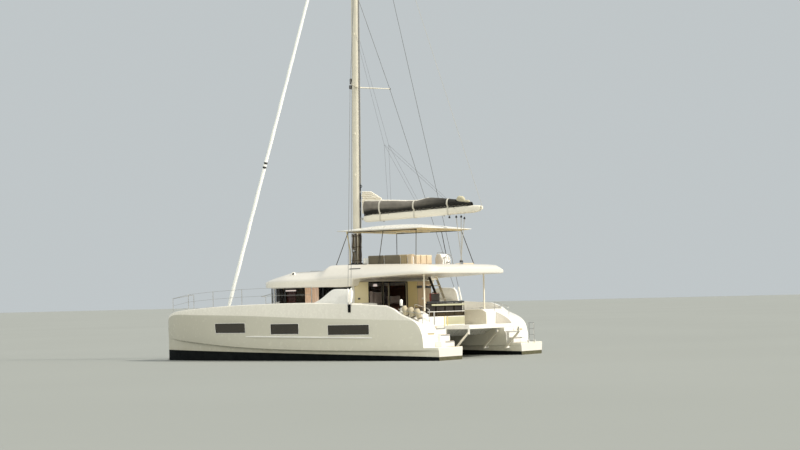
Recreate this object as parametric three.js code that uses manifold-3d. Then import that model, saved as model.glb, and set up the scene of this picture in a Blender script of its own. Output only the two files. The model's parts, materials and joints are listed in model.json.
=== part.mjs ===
// Sailing catamaran of 14 m with a flybridge, afloat.
// Millimetres. +X towards the bows, +Y to port, +Z up, origin on the waterline at half the hulls' length.
import * as THREE from 'three';
import { mergeVertices } from 'three/addons/utils/BufferGeometryUtils.js';
import Module from 'manifold-3d';

const wasm = await Module();
wasm.setup();

// Gap kept between touching pieces
const GAP = 0.3;

// Hulls
const HULL_Y = 2990;
const BOW_X = 7000;
const STERN_X = -7000;
const INNER_SIDE = 0.93;
const STERN_STEP_Z = 490;
const SIDE_DECK_Z = 1850;
const BULWARK_IN_Y = 3800;

// Bridgedeck, cockpit and house
const SOLE_Z = 1250;
const TUNNEL_Z = 800;
const FOREDECK_Z = 2180;
const FOREDECK_X = 3900;
const COCKPIT_END_X = -6000;
const WALL = 60;
const WALL_TOP_Z = 3050;
const WINDOW_Z = [2270, 2870];
const WINDOW_AFT_X = -2150;
const BULKHEAD_X = -3070;
const DOOR_Z = [1300, 2990];

// Roof and flybridge
const FLY_FLOOR_Z = 3400;
const FLY_WELL = { aft: -5600, fore: -1250, half: 2090 };

// Rig
const MAST_FOOT = [-600, 0, 3660];
const MAST_HEAD = [-920, 0, 22000];
const MAST_HALF = [180, 103];
const SPREADER_Z = 11200;
const SPREADER_TIP = [-1460, 1380, SPREADER_Z];
const LOWER_SHROUD_Z = 15000;
const CAP_SHROUD_Z = 21800;
const CHAINPLATE = { fore: -2920, aft: -3230, y: 3982, z: 2195 };
const STAY_FOOT = [6320, 0, 1900];
const STAY_HEAD = [-760, 0, 21600];
const BEAM = { x: 6330, z: 1780, radius: 95 };

// Boom: its pin behind the mast, between two plates
const BOOM_PIN = { x: -880, z: 5640, half: 35, eye: 32, plate: 15 };

// Stern platform: lower pivots on the hulls, arms that reach up and aft
const LIFT = { fore: -5400, aft: -6430, z: 310, reach: -660, rise: 655, arm: [1905, 1955], eye: 40 };

// Steering and drives
const RUDDER = { x: -5750, stock: 44.6, bore: 45.5, top: -300 };
const DRIVE = { x: -4500, z: -930, aft: -4760 };

// Looks
const GELCOAT = { color: 0xf3eee2, roughness: 0.3, metalness: 0 };
const TAN_PANEL = { color: 0xcdbf9f, roughness: 0.45, metalness: 0 };
const GLASS = { color: 0x1c2022, roughness: 0.08, metalness: 0 };
const STAINLESS = { color: 0xb9bab8, roughness: 0.25, metalness: 1 };
const SPAR_PAINT = { color: 0xefe9da, roughness: 0.35, metalness: 0.1 };
const SAILCLOTH = { color: 0xe9e2d0, roughness: 0.8, metalness: 0 };
const CHARCOAL_CANVAS = { color: 0x3a3936, roughness: 0.9, metalness: 0 };
const TAUPE_CUSHION = { color: 0x8b7f6c, roughness: 0.9, metalness: 0 };
const DARK_CUSHION = { color: 0x3b3733, roughness: 0.9, metalness: 0 };
const WOOD = { color: 0x8a5a32, roughness: 0.5, metalness: 0 };
const NET = { color: 0x4d4d4a, roughness: 0.9, metalness: 0 };
const BRONZE = { color: 0x9a7b3f, roughness: 0.35, metalness: 1 };
const ENGINE_GREY = { color: 0x6f7478, roughness: 0.6, metalness: 0.4 };

// Solids

function solidOf(geometry) {
  const bare = geometry.clone();
  bare.deleteAttribute('normal');
  bare.deleteAttribute('uv');
  const merged = mergeVertices(bare, 0.001);
  const corners = merged.index.array;
  const kept = [];
  for (let i = 0; i < corners.length; i += 3) {
    const [a, b, c] = [corners[i], corners[i + 1], corners[i + 2]];
    if (a !== b && b !== c && c !== a) kept.push(a, b, c);
  }
  const vertProperties = new Float32Array(merged.attributes.position.array);
  return new wasm.Manifold(new wasm.Mesh({ numProp: 3, vertProperties, triVerts: new Uint32Array(kept) }));
}

function geometryOf(solid) {
  const mesh = solid.getMesh();
  const geometry = new THREE.BufferGeometry();
  geometry.setAttribute('position', new THREE.BufferAttribute(mesh.vertProperties, 3));
  geometry.setIndex(new THREE.BufferAttribute(mesh.triVerts, 1));
  return geometry;
}

function join(...solids) {
  return solids.reduce((whole, next) => whole.add(next));
}

function cut(solid, ...tools) {
  return tools.reduce((left, tool) => left.subtract(tool), solid);
}

function moved(solid, x, y, z) {
  return solidOf(geometryOf(solid).translate(x, y, z));
}

// The same solid on the other side of the centreline
function mirrored(solid) {
  const geometry = geometryOf(solid).scale(1, -1, 1);
  const corners = geometry.index.array;
  for (let i = 0; i < corners.length; i += 3) {
    [corners[i + 1], corners[i + 2]] = [corners[i + 2], corners[i + 1]];
  }
  return solidOf(geometry);
}

function box([x0, x1], [y0, y1], [z0, z1]) {
  const geometry = new THREE.BoxGeometry(x1 - x0, y1 - y0, z1 - z0);
  return solidOf(geometry.translate((x0 + x1) / 2, (y0 + y1) / 2, (z0 + z1) / 2));
}

// An outline pushed along the third axis: side outlines are in x and z, plans in x and y, fronts in y and z
function prism(outline, depth, toPlace) {
  const shape = new THREE.Shape(outline.map(([a, b]) => new THREE.Vector2(a, b)));
  const geometry = new THREE.ExtrudeGeometry(shape, { depth, bevelEnabled: false, steps: 1 });
  return solidOf(geometry.applyMatrix4(toPlace));
}

function sidePrism(outline, [y0, y1]) {
  const place = new THREE.Matrix4().makeRotationX(Math.PI / 2).setPosition(0, y1, 0);
  return prism(outline, y1 - y0, place);
}

function planPrism(outline, [z0, z1]) {
  return prism(outline, z1 - z0, new THREE.Matrix4().makeTranslation(0, 0, z0));
}

function rod(from, to, radius, sides = 8, endRadius = radius) {
  const start = new THREE.Vector3(...from);
  const run = new THREE.Vector3(...to).sub(start);
  const geometry = new THREE.CylinderGeometry(endRadius, radius, run.length(), sides);
  const up = new THREE.Vector3(0, 1, 0);
  const turn = new THREE.Quaternion().setFromUnitVectors(up, run.clone().normalize());
  geometry.applyQuaternion(turn).translate(...start.add(run.multiplyScalar(0.5)).toArray());
  return solidOf(geometry);
}

function rods(points, radius, sides = 6) {
  return join(...points.slice(1).map((point, i) => rod(points[i], point, radius, sides)));
}

// A skin over rings of equally many points; flat gives a ring point's two coordinates in its own plane
function loft(rings, flat) {
  const count = rings[0].length;
  const last = (rings.length - 1) * count;
  const corners = [];
  for (let r = 0; r < last; r += count) {
    for (let i = 0; i < count; i += 1) {
      const next = (i + 1) % count;
      corners.push(r + i, r + next, r + count + i, r + next, r + count + next, r + count + i);
    }
  }
  for (const [ring, base, along] of [[rings[0], 0, -1], [rings[rings.length - 1], last, 1]]) {
    const outline = ring.map((p) => new THREE.Vector2(...flat(p)));
    const turn = Math.sign(THREE.ShapeUtils.area(outline)) * along;
    for (const [a, b, c] of THREE.ShapeUtils.triangulateShape(outline, [])) {
      const same = Math.sign(THREE.ShapeUtils.area([outline[a], outline[b], outline[c]])) === turn;
      corners.push(base + a, base + (same ? b : c), base + (same ? c : b));
    }
  }
  const points = rings.flat();
  const geometry = new THREE.BufferGeometry();
  geometry.setAttribute('position', new THREE.Float32BufferAttribute(points.flat(), 3));
  geometry.setIndex(volume(points, corners) < 0 ? corners.reverse() : corners);
  return solidOf(geometry);
}

function volume(points, corners) {
  const at = (i) => new THREE.Vector3(...points[corners[i]]);
  let six = 0;
  for (let i = 0; i < corners.length; i += 3) six += at(i).dot(at(i + 1).cross(at(i + 2)));
  return six;
}

const acrossBoat = (p) => [p[1], p[2]];
const levelPlane = (p) => [p[0], p[1]];

function ellipseRing(centre, halfX, halfY, sides) {
  return Array.from({ length: sides }, (_, i) => {
    const angle = (2 * Math.PI * i) / sides;
    return [centre[0] + halfX * Math.cos(angle), centre[1] + halfY * Math.sin(angle), centre[2]];
  });
}

// Model

const boat = new THREE.Group();

function piece(name, solid, look) {
  const mesh = new THREE.Mesh(geometryOf(solid), new THREE.MeshStandardMaterial(look));
  mesh.name = name;
  boat.add(mesh);
}

function pair(name, portSolid, look) {
  piece(`${name}_port`, portSolid, look);
  piece(`${name}_starboard`, mirrored(portSolid), look);
}

// Hull sections from bow to stern. Columns: place along the hull, keel height, half width at the water,
// height of the chine, half widths under and over it, half width and height of the crease and of the sheer
const HULL_COLUMNS = [
  'x', 'keel', 'water', 'chineZ', 'under', 'over', 'crease', 'creaseZ', 'sheer', 'sheerZ',
];
const CHINE_RISE = 50;
const HULL_SECTIONS = [
  [BOW_X, -100, 18, 950, 24, 32, 44, 1500, 42, 1630],
  [6860, -380, 55, 900, 80, 100, 170, 1700, 165, 1850],
  [6300, -520, 160, 810, 225, 290, 410, 1840, 400, 2020],
  [5000, -600, 340, 680, 420, 530, 690, 1820, 675, 2120],
  [3500, -640, 500, 560, 570, 730, 865, 1790, 845, 2200],
  [1800, -660, 600, 460, 660, 860, 955, 1740, 930, 2250],
  [-500, -660, 660, 380, 710, 925, 985, 1640, 960, 2270],
  [-3000, -600, 680, 345, 730, 930, 985, 1560, 962, 2200],
  [-4700, -520, 710, 340, 765, 920, 965, 1510, 952, 2100],
  [-6000, -400, 770, 345, 815, 895, 935, 1460, 925, 2040],
  [STERN_X, -230, 810, 350, 845, 870, 890, 1430, 885, 2000],
].map((row) => named(HULL_COLUMNS, row));
const HULL_PLACES = [
  BOW_X, 6970, 6920, 6860, 6720, 6520, 6300, 5900, 5450, 5000, 4500, 4000, 3500, 2950, 2400, 1800, 1100, 300,
  -500, -1300, -2150, -3000, -3850, -4700, -5350, -6000, -6500, STERN_X,
];

function named(columns, row) {
  return Object.fromEntries(columns.map((column, i) => [column, row[i]]));
}

// A table's row at any place along the boat, on a smooth curve through its rows
function rowAt(sections, x) {
  const found = sections.findIndex((s) => s.x <= x);
  const i = Math.max(found < 0 ? sections.length - 1 : found, 1);
  const [a, b] = [sections[i - 1], sections[i]];
  const before = sections[Math.max(i - 2, 0)];
  const after = sections[Math.min(i + 1, sections.length - 1)];
  const run = b.x - a.x;
  const t = (x - a.x) / run;
  const columns = Object.keys(a).map((key) => {
    const startSlope = (run * (b[key] - before[key])) / (b.x - before.x);
    const endSlope = (run * (after[key] - a[key])) / (after.x - a.x);
    const ends = a[key] * (1 + t * t * (2 * t - 3)) + b[key] * t * t * (3 - 2 * t);
    return [key, ends + t * (1 - t) * ((1 - t) * startSlope - t * endSlope)];
  });
  return { ...Object.fromEntries(columns), x };
}

function hullRing(s) {
  const below = [[s.water * 0.62, s.keel * 0.8], [s.water * 0.89, s.keel * 0.42], [s.water, 0]];
  const chine = [[s.under, s.chineZ], [s.over, s.chineZ + CHINE_RISE]];
  const sheer = [s.sheer, s.sheerZ];
  const outer = [[0, s.keel], ...below, ...chine, [s.crease, s.creaseZ], sheer];
  const inner = [...below, ...chine, sheer].reverse().map(([half, z]) => [-half * INNER_SIDE, z]);
  return [...outer, ...inner].map(([half, z]) => [s.x, HULL_Y + half, z]);
}

// Plan of the house with its aft corners cut across, grown by a distance
function housePlan(grow) {
  const port = [
    [BULKHEAD_X - grow, 1720 + grow], [-2300 - grow, 2600 + grow], [1450 + grow, 2600 + grow],
    [2050 + grow, 2300 + grow], [2450 + grow, 1600 + grow], [2650 + grow, 800 + grow], [2720 + grow, 0],
  ];
  const starboard = port.slice(0, -1).reverse().map(([x, y]) => [x, -y]);
  return [...port, ...starboard].reverse();
}

// A fin's section at a level: a point fore, the widest place at a third and a blunt trailing edge
function finRing(z, fore, aft, half, edge) {
  const widest = fore - (fore - aft) * 0.3;
  const late = fore - (fore - aft) * 0.65;
  const port = [[widest, half], [late, half * 0.7], [aft, edge]];
  const starboard = [...port].reverse().map(([x, y]) => [x, -y]);
  return [[fore, 0], ...port, ...starboard].map(([x, y]) => [x, HULL_Y + y, z]);
}

// Raised fairing on the sheer, with its steep aft end
const SIDE_FAIRING = [
  [-1250, 2150], [-1310, 2275], [-1620, 2430], [-2020, 2730], [-2300, 2775], [-2860, 2750],
  [-3000, 2670], [-3040, 2500], [-3040, 2150],
];

// What is taken off above the curved end of the bulwark and the stern step
const STERN_CURVE = [
  [-4620, 2115], [-5050, 1960], [-5390, 1750], [-5880, 1540], [-6130, 1350], [-6250, 1150], [-6330, 850],
  [-6350, STERN_STEP_Z], [-7100, STERN_STEP_Z], [-7100, 3000], [-4620, 3000],
];

// Steps that lead from the stern step to the cockpit, one outline of what is taken off above them
const STAIR_Y = [1900, 2860];
const STAIR = [
  [-7100, STERN_STEP_Z], [-6650, STERN_STEP_Z], [-6650, 700], [-6450, 700], [-6450, 950], [-6250, 950],
  [-6250, 1200], [-5450, 1200], [-5450, SIDE_DECK_Z], [-5440, 3000], [-7100, 3000],
];

// Windows in the topsides: ends and heights
const HULL_WINDOWS = [
  { x: [2170, 3730], z: [1120, 1480] },
  { x: [-540, 840], z: [1070, 1430] },
  { x: [-3930, -1980], z: [1000, 1390] },
];

const ENGINE_WELL = { x: [-4900, -4100], y: [2740, 3300], floor: -150 };
const HATCH = { lid: 35, ledge: 45, gap: 6 };

// A well in a deck with a ledge for its lid
function lidWell(x, y, floor, deck) {
  const wide = ([low, high]) => [low - HATCH.ledge, high + HATCH.ledge];
  return join(box(x, y, [floor, deck + 50]), box(wide(x), wide(y), [deck - HATCH.lid, deck + 50]));
}

function lidFor(x, y, deck) {
  const inside = ([low, high]) => [low - HATCH.ledge + HATCH.gap, high + HATCH.ledge - HATCH.gap];
  return box(inside(x), inside(y), [deck - HATCH.lid + GAP, deck]);
}

const FAIRING_LEAN = 0.34;
const FAIRING_THICK = 125;

// The fairing stands on the sheer and leans inboard
function sideFairing() {
  const upright = geometryOf(sidePrism(SIDE_FAIRING, [0, FAIRING_THICK]));
  const lean = new THREE.Matrix4().set(1, 0, 0, 0, 0, 1, -FAIRING_LEAN, 0, 0, 0, 1, 0, 0, 0, 0, 1);
  const foot = HULL_Y + 945 - FAIRING_THICK + FAIRING_LEAN * 2200;
  return solidOf(upright.applyMatrix4(lean).translate(0, foot, 0));
}

// Plate that the ledge under the hull windows stands out with
function windowLedge() {
  const outline = [[-4050, 860], [2180, 960], [2180, 1000], [-4050, 900]];
  return sidePrism(outline, [HULL_Y + 700, HULL_Y + 988]);
}

function pivotBoss(x) {
  return rod([x, LIFT.arm[1] + GAP, LIFT.z], [x, HULL_Y - 500, LIFT.z], 50, 12);
}

function hullPort() {
  const shell = loft(HULL_PLACES.map((x) => hullRing(rowAt(HULL_SECTIONS, x))), acrossBoat);
  const whole = join(shell, sideFairing(), windowLedge(), pivotBoss(LIFT.fore), pivotBoss(LIFT.aft));
  const windows = HULL_WINDOWS.map(({ x, z }) => box(x, [HULL_Y + 925, HULL_Y + 1100], z));
  const sideDeck = box([-5450, -3040], [1900, BULWARK_IN_Y], [SIDE_DECK_Z, 3000]);
  return cut(whole,
    ...windows,
    sideDeck,
    sidePrism(STERN_CURVE, [1900, 4100]),
    sidePrism(STAIR, STAIR_Y),
    planPrism(housePlan(GAP), [SOLE_Z, 2600]),
    lidWell(ENGINE_WELL.x, ENGINE_WELL.y, ENGINE_WELL.floor, SIDE_DECK_Z),
    rod([RUDDER.x, HULL_Y, -900], [RUDDER.x, HULL_Y, RUDDER.top + GAP], RUDDER.bore, 24),
    box([DRIVE.x - 150 - GAP, DRIVE.x + 150 + GAP], [HULL_Y - 75 - GAP, HULL_Y + 75 + GAP], [-900, -430]));
}

const LADDER = { x: -7040, z: 545, y: [-3200, -2740], tube: 14, height: 720 };

function ladderLugs() {
  const lug = (y0, y1) => box([LADDER.x - 25, STERN_X + 40], [y0, y1], [LADDER.z - 90, LADDER.z + 25]);
  return join(lug(LADDER.y[0] - 25, LADDER.y[0] - GAP), lug(LADDER.y[1] + GAP, LADDER.y[1] + 25));
}

const hull = hullPort();
piece('hull_port', hull, GELCOAT);
piece('hull_starboard', join(mirrored(hull), ladderLugs()), GELCOAT);

// Fixed keels under the hulls
const keel = loft([finRing(-1300, 1150, -750, 90, 12), finRing(-500, 1550, -950, 150, 15)], levelPlane);
pair('keel', cut(keel, moved(hull, 0, 0, -GAP)), GELCOAT);

// What a piece that meets the hulls' inner or outer sides loses, towards the centreline or away from it
const hullsInward = join(moved(hull, 0, -GAP, 0), moved(mirrored(hull), 0, GAP, 0));

const LOCKER = { x: [3060, 3700], y: [420, 1650], floor: 1500 };

function bridgedeck() {
  const outline = [
    [COCKPIT_END_X, SOLE_Z], [COCKPIT_END_X, 1120], [-5700, 1060], [-5300, 830], [-4600, TUNNEL_Z],
    [2200, TUNNEL_Z], [3000, 900], [3550, 1200], [3820, 1600], [FOREDECK_X, 1950], [3880, FOREDECK_Z],
    [1300, FOREDECK_Z], [1300, SOLE_Z],
  ].reverse();
  const locker = lidWell(LOCKER.x, LOCKER.y, LOCKER.floor, FOREDECK_Z);
  const house = planPrism(housePlan(GAP), [SOLE_Z, 2600]);
  return cut(sidePrism(outline, [-2400, 2400]), hullsInward, house, locker, mirrored(locker));
}
piece('bridgedeck', bridgedeck(), GELCOAT);

const LONGERON = { half: 60, z: [1720, 1855] };
const GENOA = { drum: [60, 190], sail: [190, 19300], radius: [80, 52] };

// Forward beam with its longeron to the foredeck and the tang of the forestay
function crossbeam() {
  const beam = rod([BEAM.x, -2800, BEAM.z], [BEAM.x, 2800, BEAM.z], BEAM.radius, 16);
  const tang = rod(stayPoint(-120), stayPoint(GENOA.drum[0]), 45, 10);
  const longeron = box([FOREDECK_X + GAP, BEAM.x], [-LONGERON.half, LONGERON.half], LONGERON.z);
  return join(cut(beam, hullsInward), longeron, tang);
}

// A point on the line of the forestay, a distance up from its foot
function stayPoint(distance) {
  const foot = new THREE.Vector3(...STAY_FOOT);
  const head = new THREE.Vector3(...STAY_HEAD);
  return foot.add(head.sub(foot).normalize().multiplyScalar(distance)).toArray();
}
piece('crossbeam', crossbeam(), SPAR_PAINT);

// Nets between the longeron and the hulls
const NET_X = [FOREDECK_X + 30, BEAM.x - BEAM.radius - 40];
const NET_Z = [1860, 1875];
const net = box(NET_X, [LONGERON.half + GAP, 2900], NET_Z);
pair('trampoline', cut(net, hullsInward), NET);

// House

const WALL_SPLIT_X = -2300;

function wallRing(grow, thick, [low, high]) {
  const inner = planPrism(housePlan(grow - thick), [low - 10, high + 10]);
  return cut(planPrism(housePlan(grow), [low, high]), inner);
}

function houseWall() {
  const ring = wallRing(0, WALL, [SOLE_Z + GAP, WALL_TOP_Z - GAP]);
  const aft = box([-4000, WALL_SPLIT_X], [-3000, 3000], [0, 4000]);
  const band = box([WINDOW_AFT_X, 3000], [-3000, 3000], WINDOW_Z);
  return cut(ring, aft, band);
}
piece('house_wall', houseWall(), GELCOAT);

const GLASS_INSET = 15;
const GLASS_THICK = 12;

function houseGlass() {
  const z = [WINDOW_Z[0] + GAP, WINDOW_Z[1] - GAP];
  const ring = wallRing(-GLASS_INSET, GLASS_THICK, z);
  return cut(ring, box([-4000, WINDOW_AFT_X + GAP], [-3000, 3000], [0, 4000]));
}
piece('house_glass', houseGlass(), GLASS);

// Aft wall: doorway to port of the middle, a pane beside it and one in each slanted corner
const DOORWAY_Y = [50, 1250];
const FIXED_PANE_Y = [1310, 1640];
const CORNER_PANE = { near: 0.42, far: 0.95 };
const RAIL = {
  x: [BULKHEAD_X + WALL + 25, BULKHEAD_X + WALL + 85],
  z: [SOLE_Z + GAP, SOLE_Z + 40],
  y: [-1300, 1640],
};

// A cutter through the slanted corner wall between two shares of its length
function cornerCutter(side, near, far, z) {
  const at = (share) => [-2300 + share * (BULKHEAD_X + 2300), side * (2600 - share * 880)];
  const [a, b] = [at(near), at(far)];
  const out = side * 150;
  const outline = [
    [a[0] - 150, a[1] + out], [b[0] - 150, b[1] + out], [b[0] + 150, b[1] - out], [a[0] + 150, a[1] - out],
  ];
  return planPrism(outline, z);
}

function bulkhead() {
  const ring = wallRing(0, WALL, [SOLE_Z + GAP, WALL_TOP_Z - GAP]);
  const fore = box([WALL_SPLIT_X - GAP, 4000], [-3000, 3000], [0, 4000]);
  const through = [BULKHEAD_X - 50, BULKHEAD_X + WALL + 20];
  const sill = box([BULKHEAD_X + WALL - 10, RAIL.x[1]], RAIL.y, RAIL.z);
  const corners = [1, -1].map((side) => cornerCutter(side, CORNER_PANE.near, CORNER_PANE.far, DOOR_Z));
  const doorway = box(through, DOORWAY_Y, DOOR_Z);
  const wall = cut(ring, fore, doorway, box(through, FIXED_PANE_Y, DOOR_Z), ...corners);
  return join(wall, sill);
}
piece('bulkhead', bulkhead(), TAN_PANEL);

function paneIn([y0, y1]) {
  const x = [BULKHEAD_X + 20, BULKHEAD_X + 32];
  return box(x, [y0 + GAP, y1 - GAP], [DOOR_Z[0] + GAP, DOOR_Z[1] - GAP]);
}
piece('bulkhead_pane', paneIn(FIXED_PANE_Y), GLASS);

function cornerPane(side) {
  const z = [DOOR_Z[0] + GAP, DOOR_Z[1] - GAP];
  const ring = wallRing(-20, GLASS_THICK, z);
  const slack = 0.0005;
  return ring.intersect(cornerCutter(side, CORNER_PANE.near + slack, CORNER_PANE.far - slack, [0, 4000]));
}
piece('corner_pane_port', cornerPane(1), GLASS);
piece('corner_pane_starboard', cornerPane(-1), GLASS);

// Sliding door, drawn as open behind the starboard half of the aft wall
const DOOR = {
  x: [RAIL.x[0] + 10, RAIL.x[1] - 10],
  y: [-1200, 20],
  z: [RAIL.z[1] + GAP, 2960],
  rail: 70,
};

function slidingDoor() {
  const frame = box(DOOR.x, DOOR.y, DOOR.z);
  const within = ([low, high]) => [low + DOOR.rail, high - DOOR.rail];
  const inner = (x) => box(x, within(DOOR.y), within(DOOR.z));
  const middle = (DOOR.x[0] + DOOR.x[1]) / 2;
  return cut(frame, inner([DOOR.x[0] - 5, middle - 5]), inner([middle + 5, DOOR.x[1] + 5]));
}
piece('sliding_door', slidingDoor(), GLASS);

// Roof sections from nose to stern: half width and height of the lower edge, height of the crease, half
// width and height of the coaming
const ROOF_SECTIONS = [
  [3330, 850, 3010, 3110, 760, 3150],
  [3050, 1450, 2950, 3140, 1150, 3240],
  [2250, 2350, 2895, 3150, 1750, 3400],
  [1300, 2740, 2885, 3150, 2000, 3530],
  [-750, 2880, 2870, 3155, 2150, 3610],
  [-950, 2890, 2870, 3160, 2280, 3730],
  [-2400, 2920, 2885, 3190, 2310, 3730],
  [-2460, 2920, 3120, 3195, 2310, 3730],
  [-4000, 2920, 3215, 3280, 2350, 3705],
  [-5200, 2860, 3270, 3350, 2400, 3670],
  [-5850, 2680, 3275, 3380, 2300, 3610],
  [-6100, 2450, 3300, 3400, 2150, 3500],
].map((row) => named(['x', 'half', 'low', 'crease', 'top', 'topZ'], row));

const ROOF_NOSE_PLACES = [3330, 3230, 3050, 2650, 2250, 1800, 1300, 600, -100];
const ROOF_CROWN = 20;

// A roof section: upright edge, rounded shoulder and a crowned top
function roofRing(s) {
  const edge = s.half + 15;
  const shoulder = (outShare, upShare) => [
    edge + (s.top - edge) * outShare, s.crease + (s.topZ - s.crease) * upShare,
  ];
  const port = [
    [s.half, s.low], [edge, s.crease], shoulder(0.1, 0.22), shoulder(0.65, 0.82), [s.top, s.topZ],
  ];
  const starboard = [...port].reverse().map(([y, z]) => [-y, z]);
  return [...port, [0, s.topZ + ROOF_CROWN], ...starboard].map(([y, z]) => [s.x, y, z]);
}

// Opening in the flybridge floor over the stairs
const STAIR_HOLE = { x: [-3780, -3120], y: [-1840, -1260] };

function coachroof() {
  const nose = ROOF_NOSE_PLACES.map((x) => rowAt(ROOF_SECTIONS, x));
  const rest = ROOF_SECTIONS.filter((s) => s.x < nose[nose.length - 1].x);
  const shell = loft([...nose, ...rest].map(roofRing), acrossBoat);
  const step = box([-830, -370], [-210, 210], [3500, MAST_FOOT[2] - GAP]);
  return cut(join(shell, step),
    planPrism(housePlan(GAP), [2600, WALL_TOP_Z]),
    box([FLY_WELL.aft, FLY_WELL.fore], [-FLY_WELL.half, FLY_WELL.half], [FLY_FLOOR_Z, 4000]),
    box(STAIR_HOLE.x, STAIR_HOLE.y, [3000, 4000]));
}
const roof = coachroof();
piece('coachroof', roof, GELCOAT);
const roofUp = moved(roof, 0, 0, GAP);
const roofDown = moved(roof, 0, 0, -GAP);

// Posts under the roof's aft end
const PILLAR = { x: -5320, y: 2190, radius: 32 };
const pillar = rod([PILLAR.x, PILLAR.y, SIDE_DECK_Z + GAP], [PILLAR.x, PILLAR.y, 3400], PILLAR.radius, 12);
pair('roof_pillar', cut(pillar, roofDown), GELCOAT);

// Furniture in the saloon and the cockpit, each on the sole

const ON_SOLE = SOLE_Z + GAP;

function saloonSettee() {
  const base = box([700, 2100], [-1500, 600], [ON_SOLE, 1680]);
  const backFore = box([1950, 2100], [-1500, 600], [1600, 2150]);
  const backPort = box([700, 2100], [450, 600], [1600, 2150]);
  return join(base, backFore, backPort);
}
piece('saloon_settee', saloonSettee(), TAUPE_CUSHION);

// A table's top on one leg
function table(x, y, legX, legY) {
  return join(box(x, y, [1960, 2000]), box(legX, legY, [ON_SOLE, 1980]));
}
piece('saloon_table', table([-200, 600], [-1250, 200], [100, 300], [-600, -450]), WOOD);

function galley() {
  const along = box([-2150, 700], [1650, 2250], [ON_SOLE, 2150]);
  const across = box([-2150, -1400], [900, 1700], [ON_SOLE, 2150]);
  return join(along, across);
}
piece('galley', galley(), WOOD);

function cockpitBench() {
  const y = [-870, 1800];
  const seat = box([-5100, -4450], y, [ON_SOLE, 1680]);
  const back = box([-5220, -5020], y, [ON_SOLE, 2180]);
  return join(seat, back);
}
piece('cockpit_bench', cockpitBench(), DARK_CUSHION);
piece('cockpit_table', table([-4300, -3600], [-450, 1350], [-4030, -3870], [370, 530]), WOOD);

// Stairs from the cockpit to the flybridge: treads between two stringers
function flybridgeStairs() {
  const treads = 7;
  const foot = { x: -4170, z: SOLE_Z };
  const run = 900;
  const rise = (FLY_FLOOR_Z - SOLE_Z) / (treads + 1);
  const slope = [
    [foot.x, ON_SOLE], [foot.x + 110, ON_SOLE], [foot.x + run + 110, 3330], [foot.x + run, 3330],
  ];
  const steps = Array.from({ length: treads }, (_, i) => {
    const x = foot.x + ((i + 0.6) * run) / treads;
    const z = foot.z + (i + 1) * rise;
    return box([x, x + 185], [-1800, -1300], [z - 40, z]);
  });
  return join(sidePrism(slope, [-1820, -1790]), sidePrism(slope, [-1310, -1280]), ...steps);
}
piece('flybridge_stairs', flybridgeStairs(), SPAR_PAINT);

// Flybridge

const ON_FLY = FLY_FLOOR_Z + GAP;

function flybridgeSettee() {
  const port = box([-4700, -2450], [1330, 1980], [ON_FLY, 3800]);
  const fore = box([-2950, -2300], [-350, 1980], [ON_FLY, 3800]);
  const backPort = box([-4700, -2300], [1850, 1980], [3700, 4080]);
  const backFore = box([-2440, -2300], [-350, 1980], [3700, 4080]);
  return join(port, fore, backPort, backFore);
}
piece('flybridge_settee', flybridgeSettee(), TAUPE_CUSHION);

const HELM = { y: [-1500, -900], x: [-4200, -3830] };

function helmConsole() {
  const outline = [
    [HELM.x[0], 3900], [-4090, 4110], [-3900, 4110], [HELM.x[1], 3930], [-3850, ON_FLY], [HELM.x[0], ON_FLY],
  ];
  return sidePrism(outline, HELM.y);
}
piece('helm_console', helmConsole(), GELCOAT);

function helmSeat() {
  const y = [-1650, -750];
  return join(box([-5200, -4750], y, [ON_FLY, 3700]), box([-5230, -5150], y, [ON_FLY, 3780]));
}
piece('helm_seat', helmSeat(), TAUPE_CUSHION);

const WHEEL = { x: HELM.x[0] - 90, y: -1200, z: 3790, rim: 300, tube: 16 };

function steeringWheel() {
  const { x, y, z } = WHEEL;
  const ring = new THREE.TorusGeometry(WHEEL.rim, WHEEL.tube, 8, 24).rotateY(Math.PI / 2);
  const rim = solidOf(ring.translate(x, y, z));
  const hub = rod([HELM.x[0] - GAP, y, z], [x - 30, y, z], 32, 12);
  const spokes = [0, 1, 2].map((i) => {
    const angle = (2 * Math.PI * i) / 3 + Math.PI / 2;
    const end = [x, y + WHEEL.rim * Math.cos(angle), z + WHEEL.rim * Math.sin(angle)];
    return rod([x, y, z], end, 11, 6);
  });
  return join(rim, hub, ...spokes);
}
piece('steering_wheel', steeringWheel(), STAINLESS);

// Bimini: poles with cross bars and side rails under a crowned top; the middle poles aren't opposite
const BIMINI_POLES = [
  { top: [-1430, 1720], foot: [-1090, 2190] },
  { top: [-3100, 1684], foot: [-3190, 2200] },
  { top: [-4650, 1650], foot: [-4990, 2230] },
];
const BIMINI_STARBOARD_POLES = [
  { top: [-1430, -1720], foot: [-1090, -2190] },
  { top: [-3680, -1671], foot: [-3640, -2200] },
  { top: [-4650, -1650], foot: [-4880, -2230] },
];
const BIMINI_RAIL_Z = 5045;
const BIMINI_TUBE = { rail: 20, pole: 15, drop: 2.5 };

function biminiFrame() {
  const level = BIMINI_RAIL_Z - BIMINI_TUBE.drop;
  const tube = (from, to) => rod(from, to, BIMINI_TUBE.pole);
  const poles = [...BIMINI_POLES, ...BIMINI_STARBOARD_POLES].map(({ top, foot }) => (
    tube([...foot, 3600], [...top, level])));
  const cross = BIMINI_POLES.map(({ top }) => tube([top[0], -top[1], level], [...top, level]));
  const [fore, aft] = [BIMINI_POLES[0].top, BIMINI_POLES[2].top];
  const rail = (sign) => rod([fore[0] + 25, sign * fore[1], BIMINI_RAIL_Z],
    [aft[0] - 25, sign * aft[1], BIMINI_RAIL_Z], BIMINI_TUBE.rail);
  return cut(join(...poles, ...cross, rail(1), rail(-1)), roofUp);
}
const frame = biminiFrame();
piece('bimini_frame', frame, STAINLESS);

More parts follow.
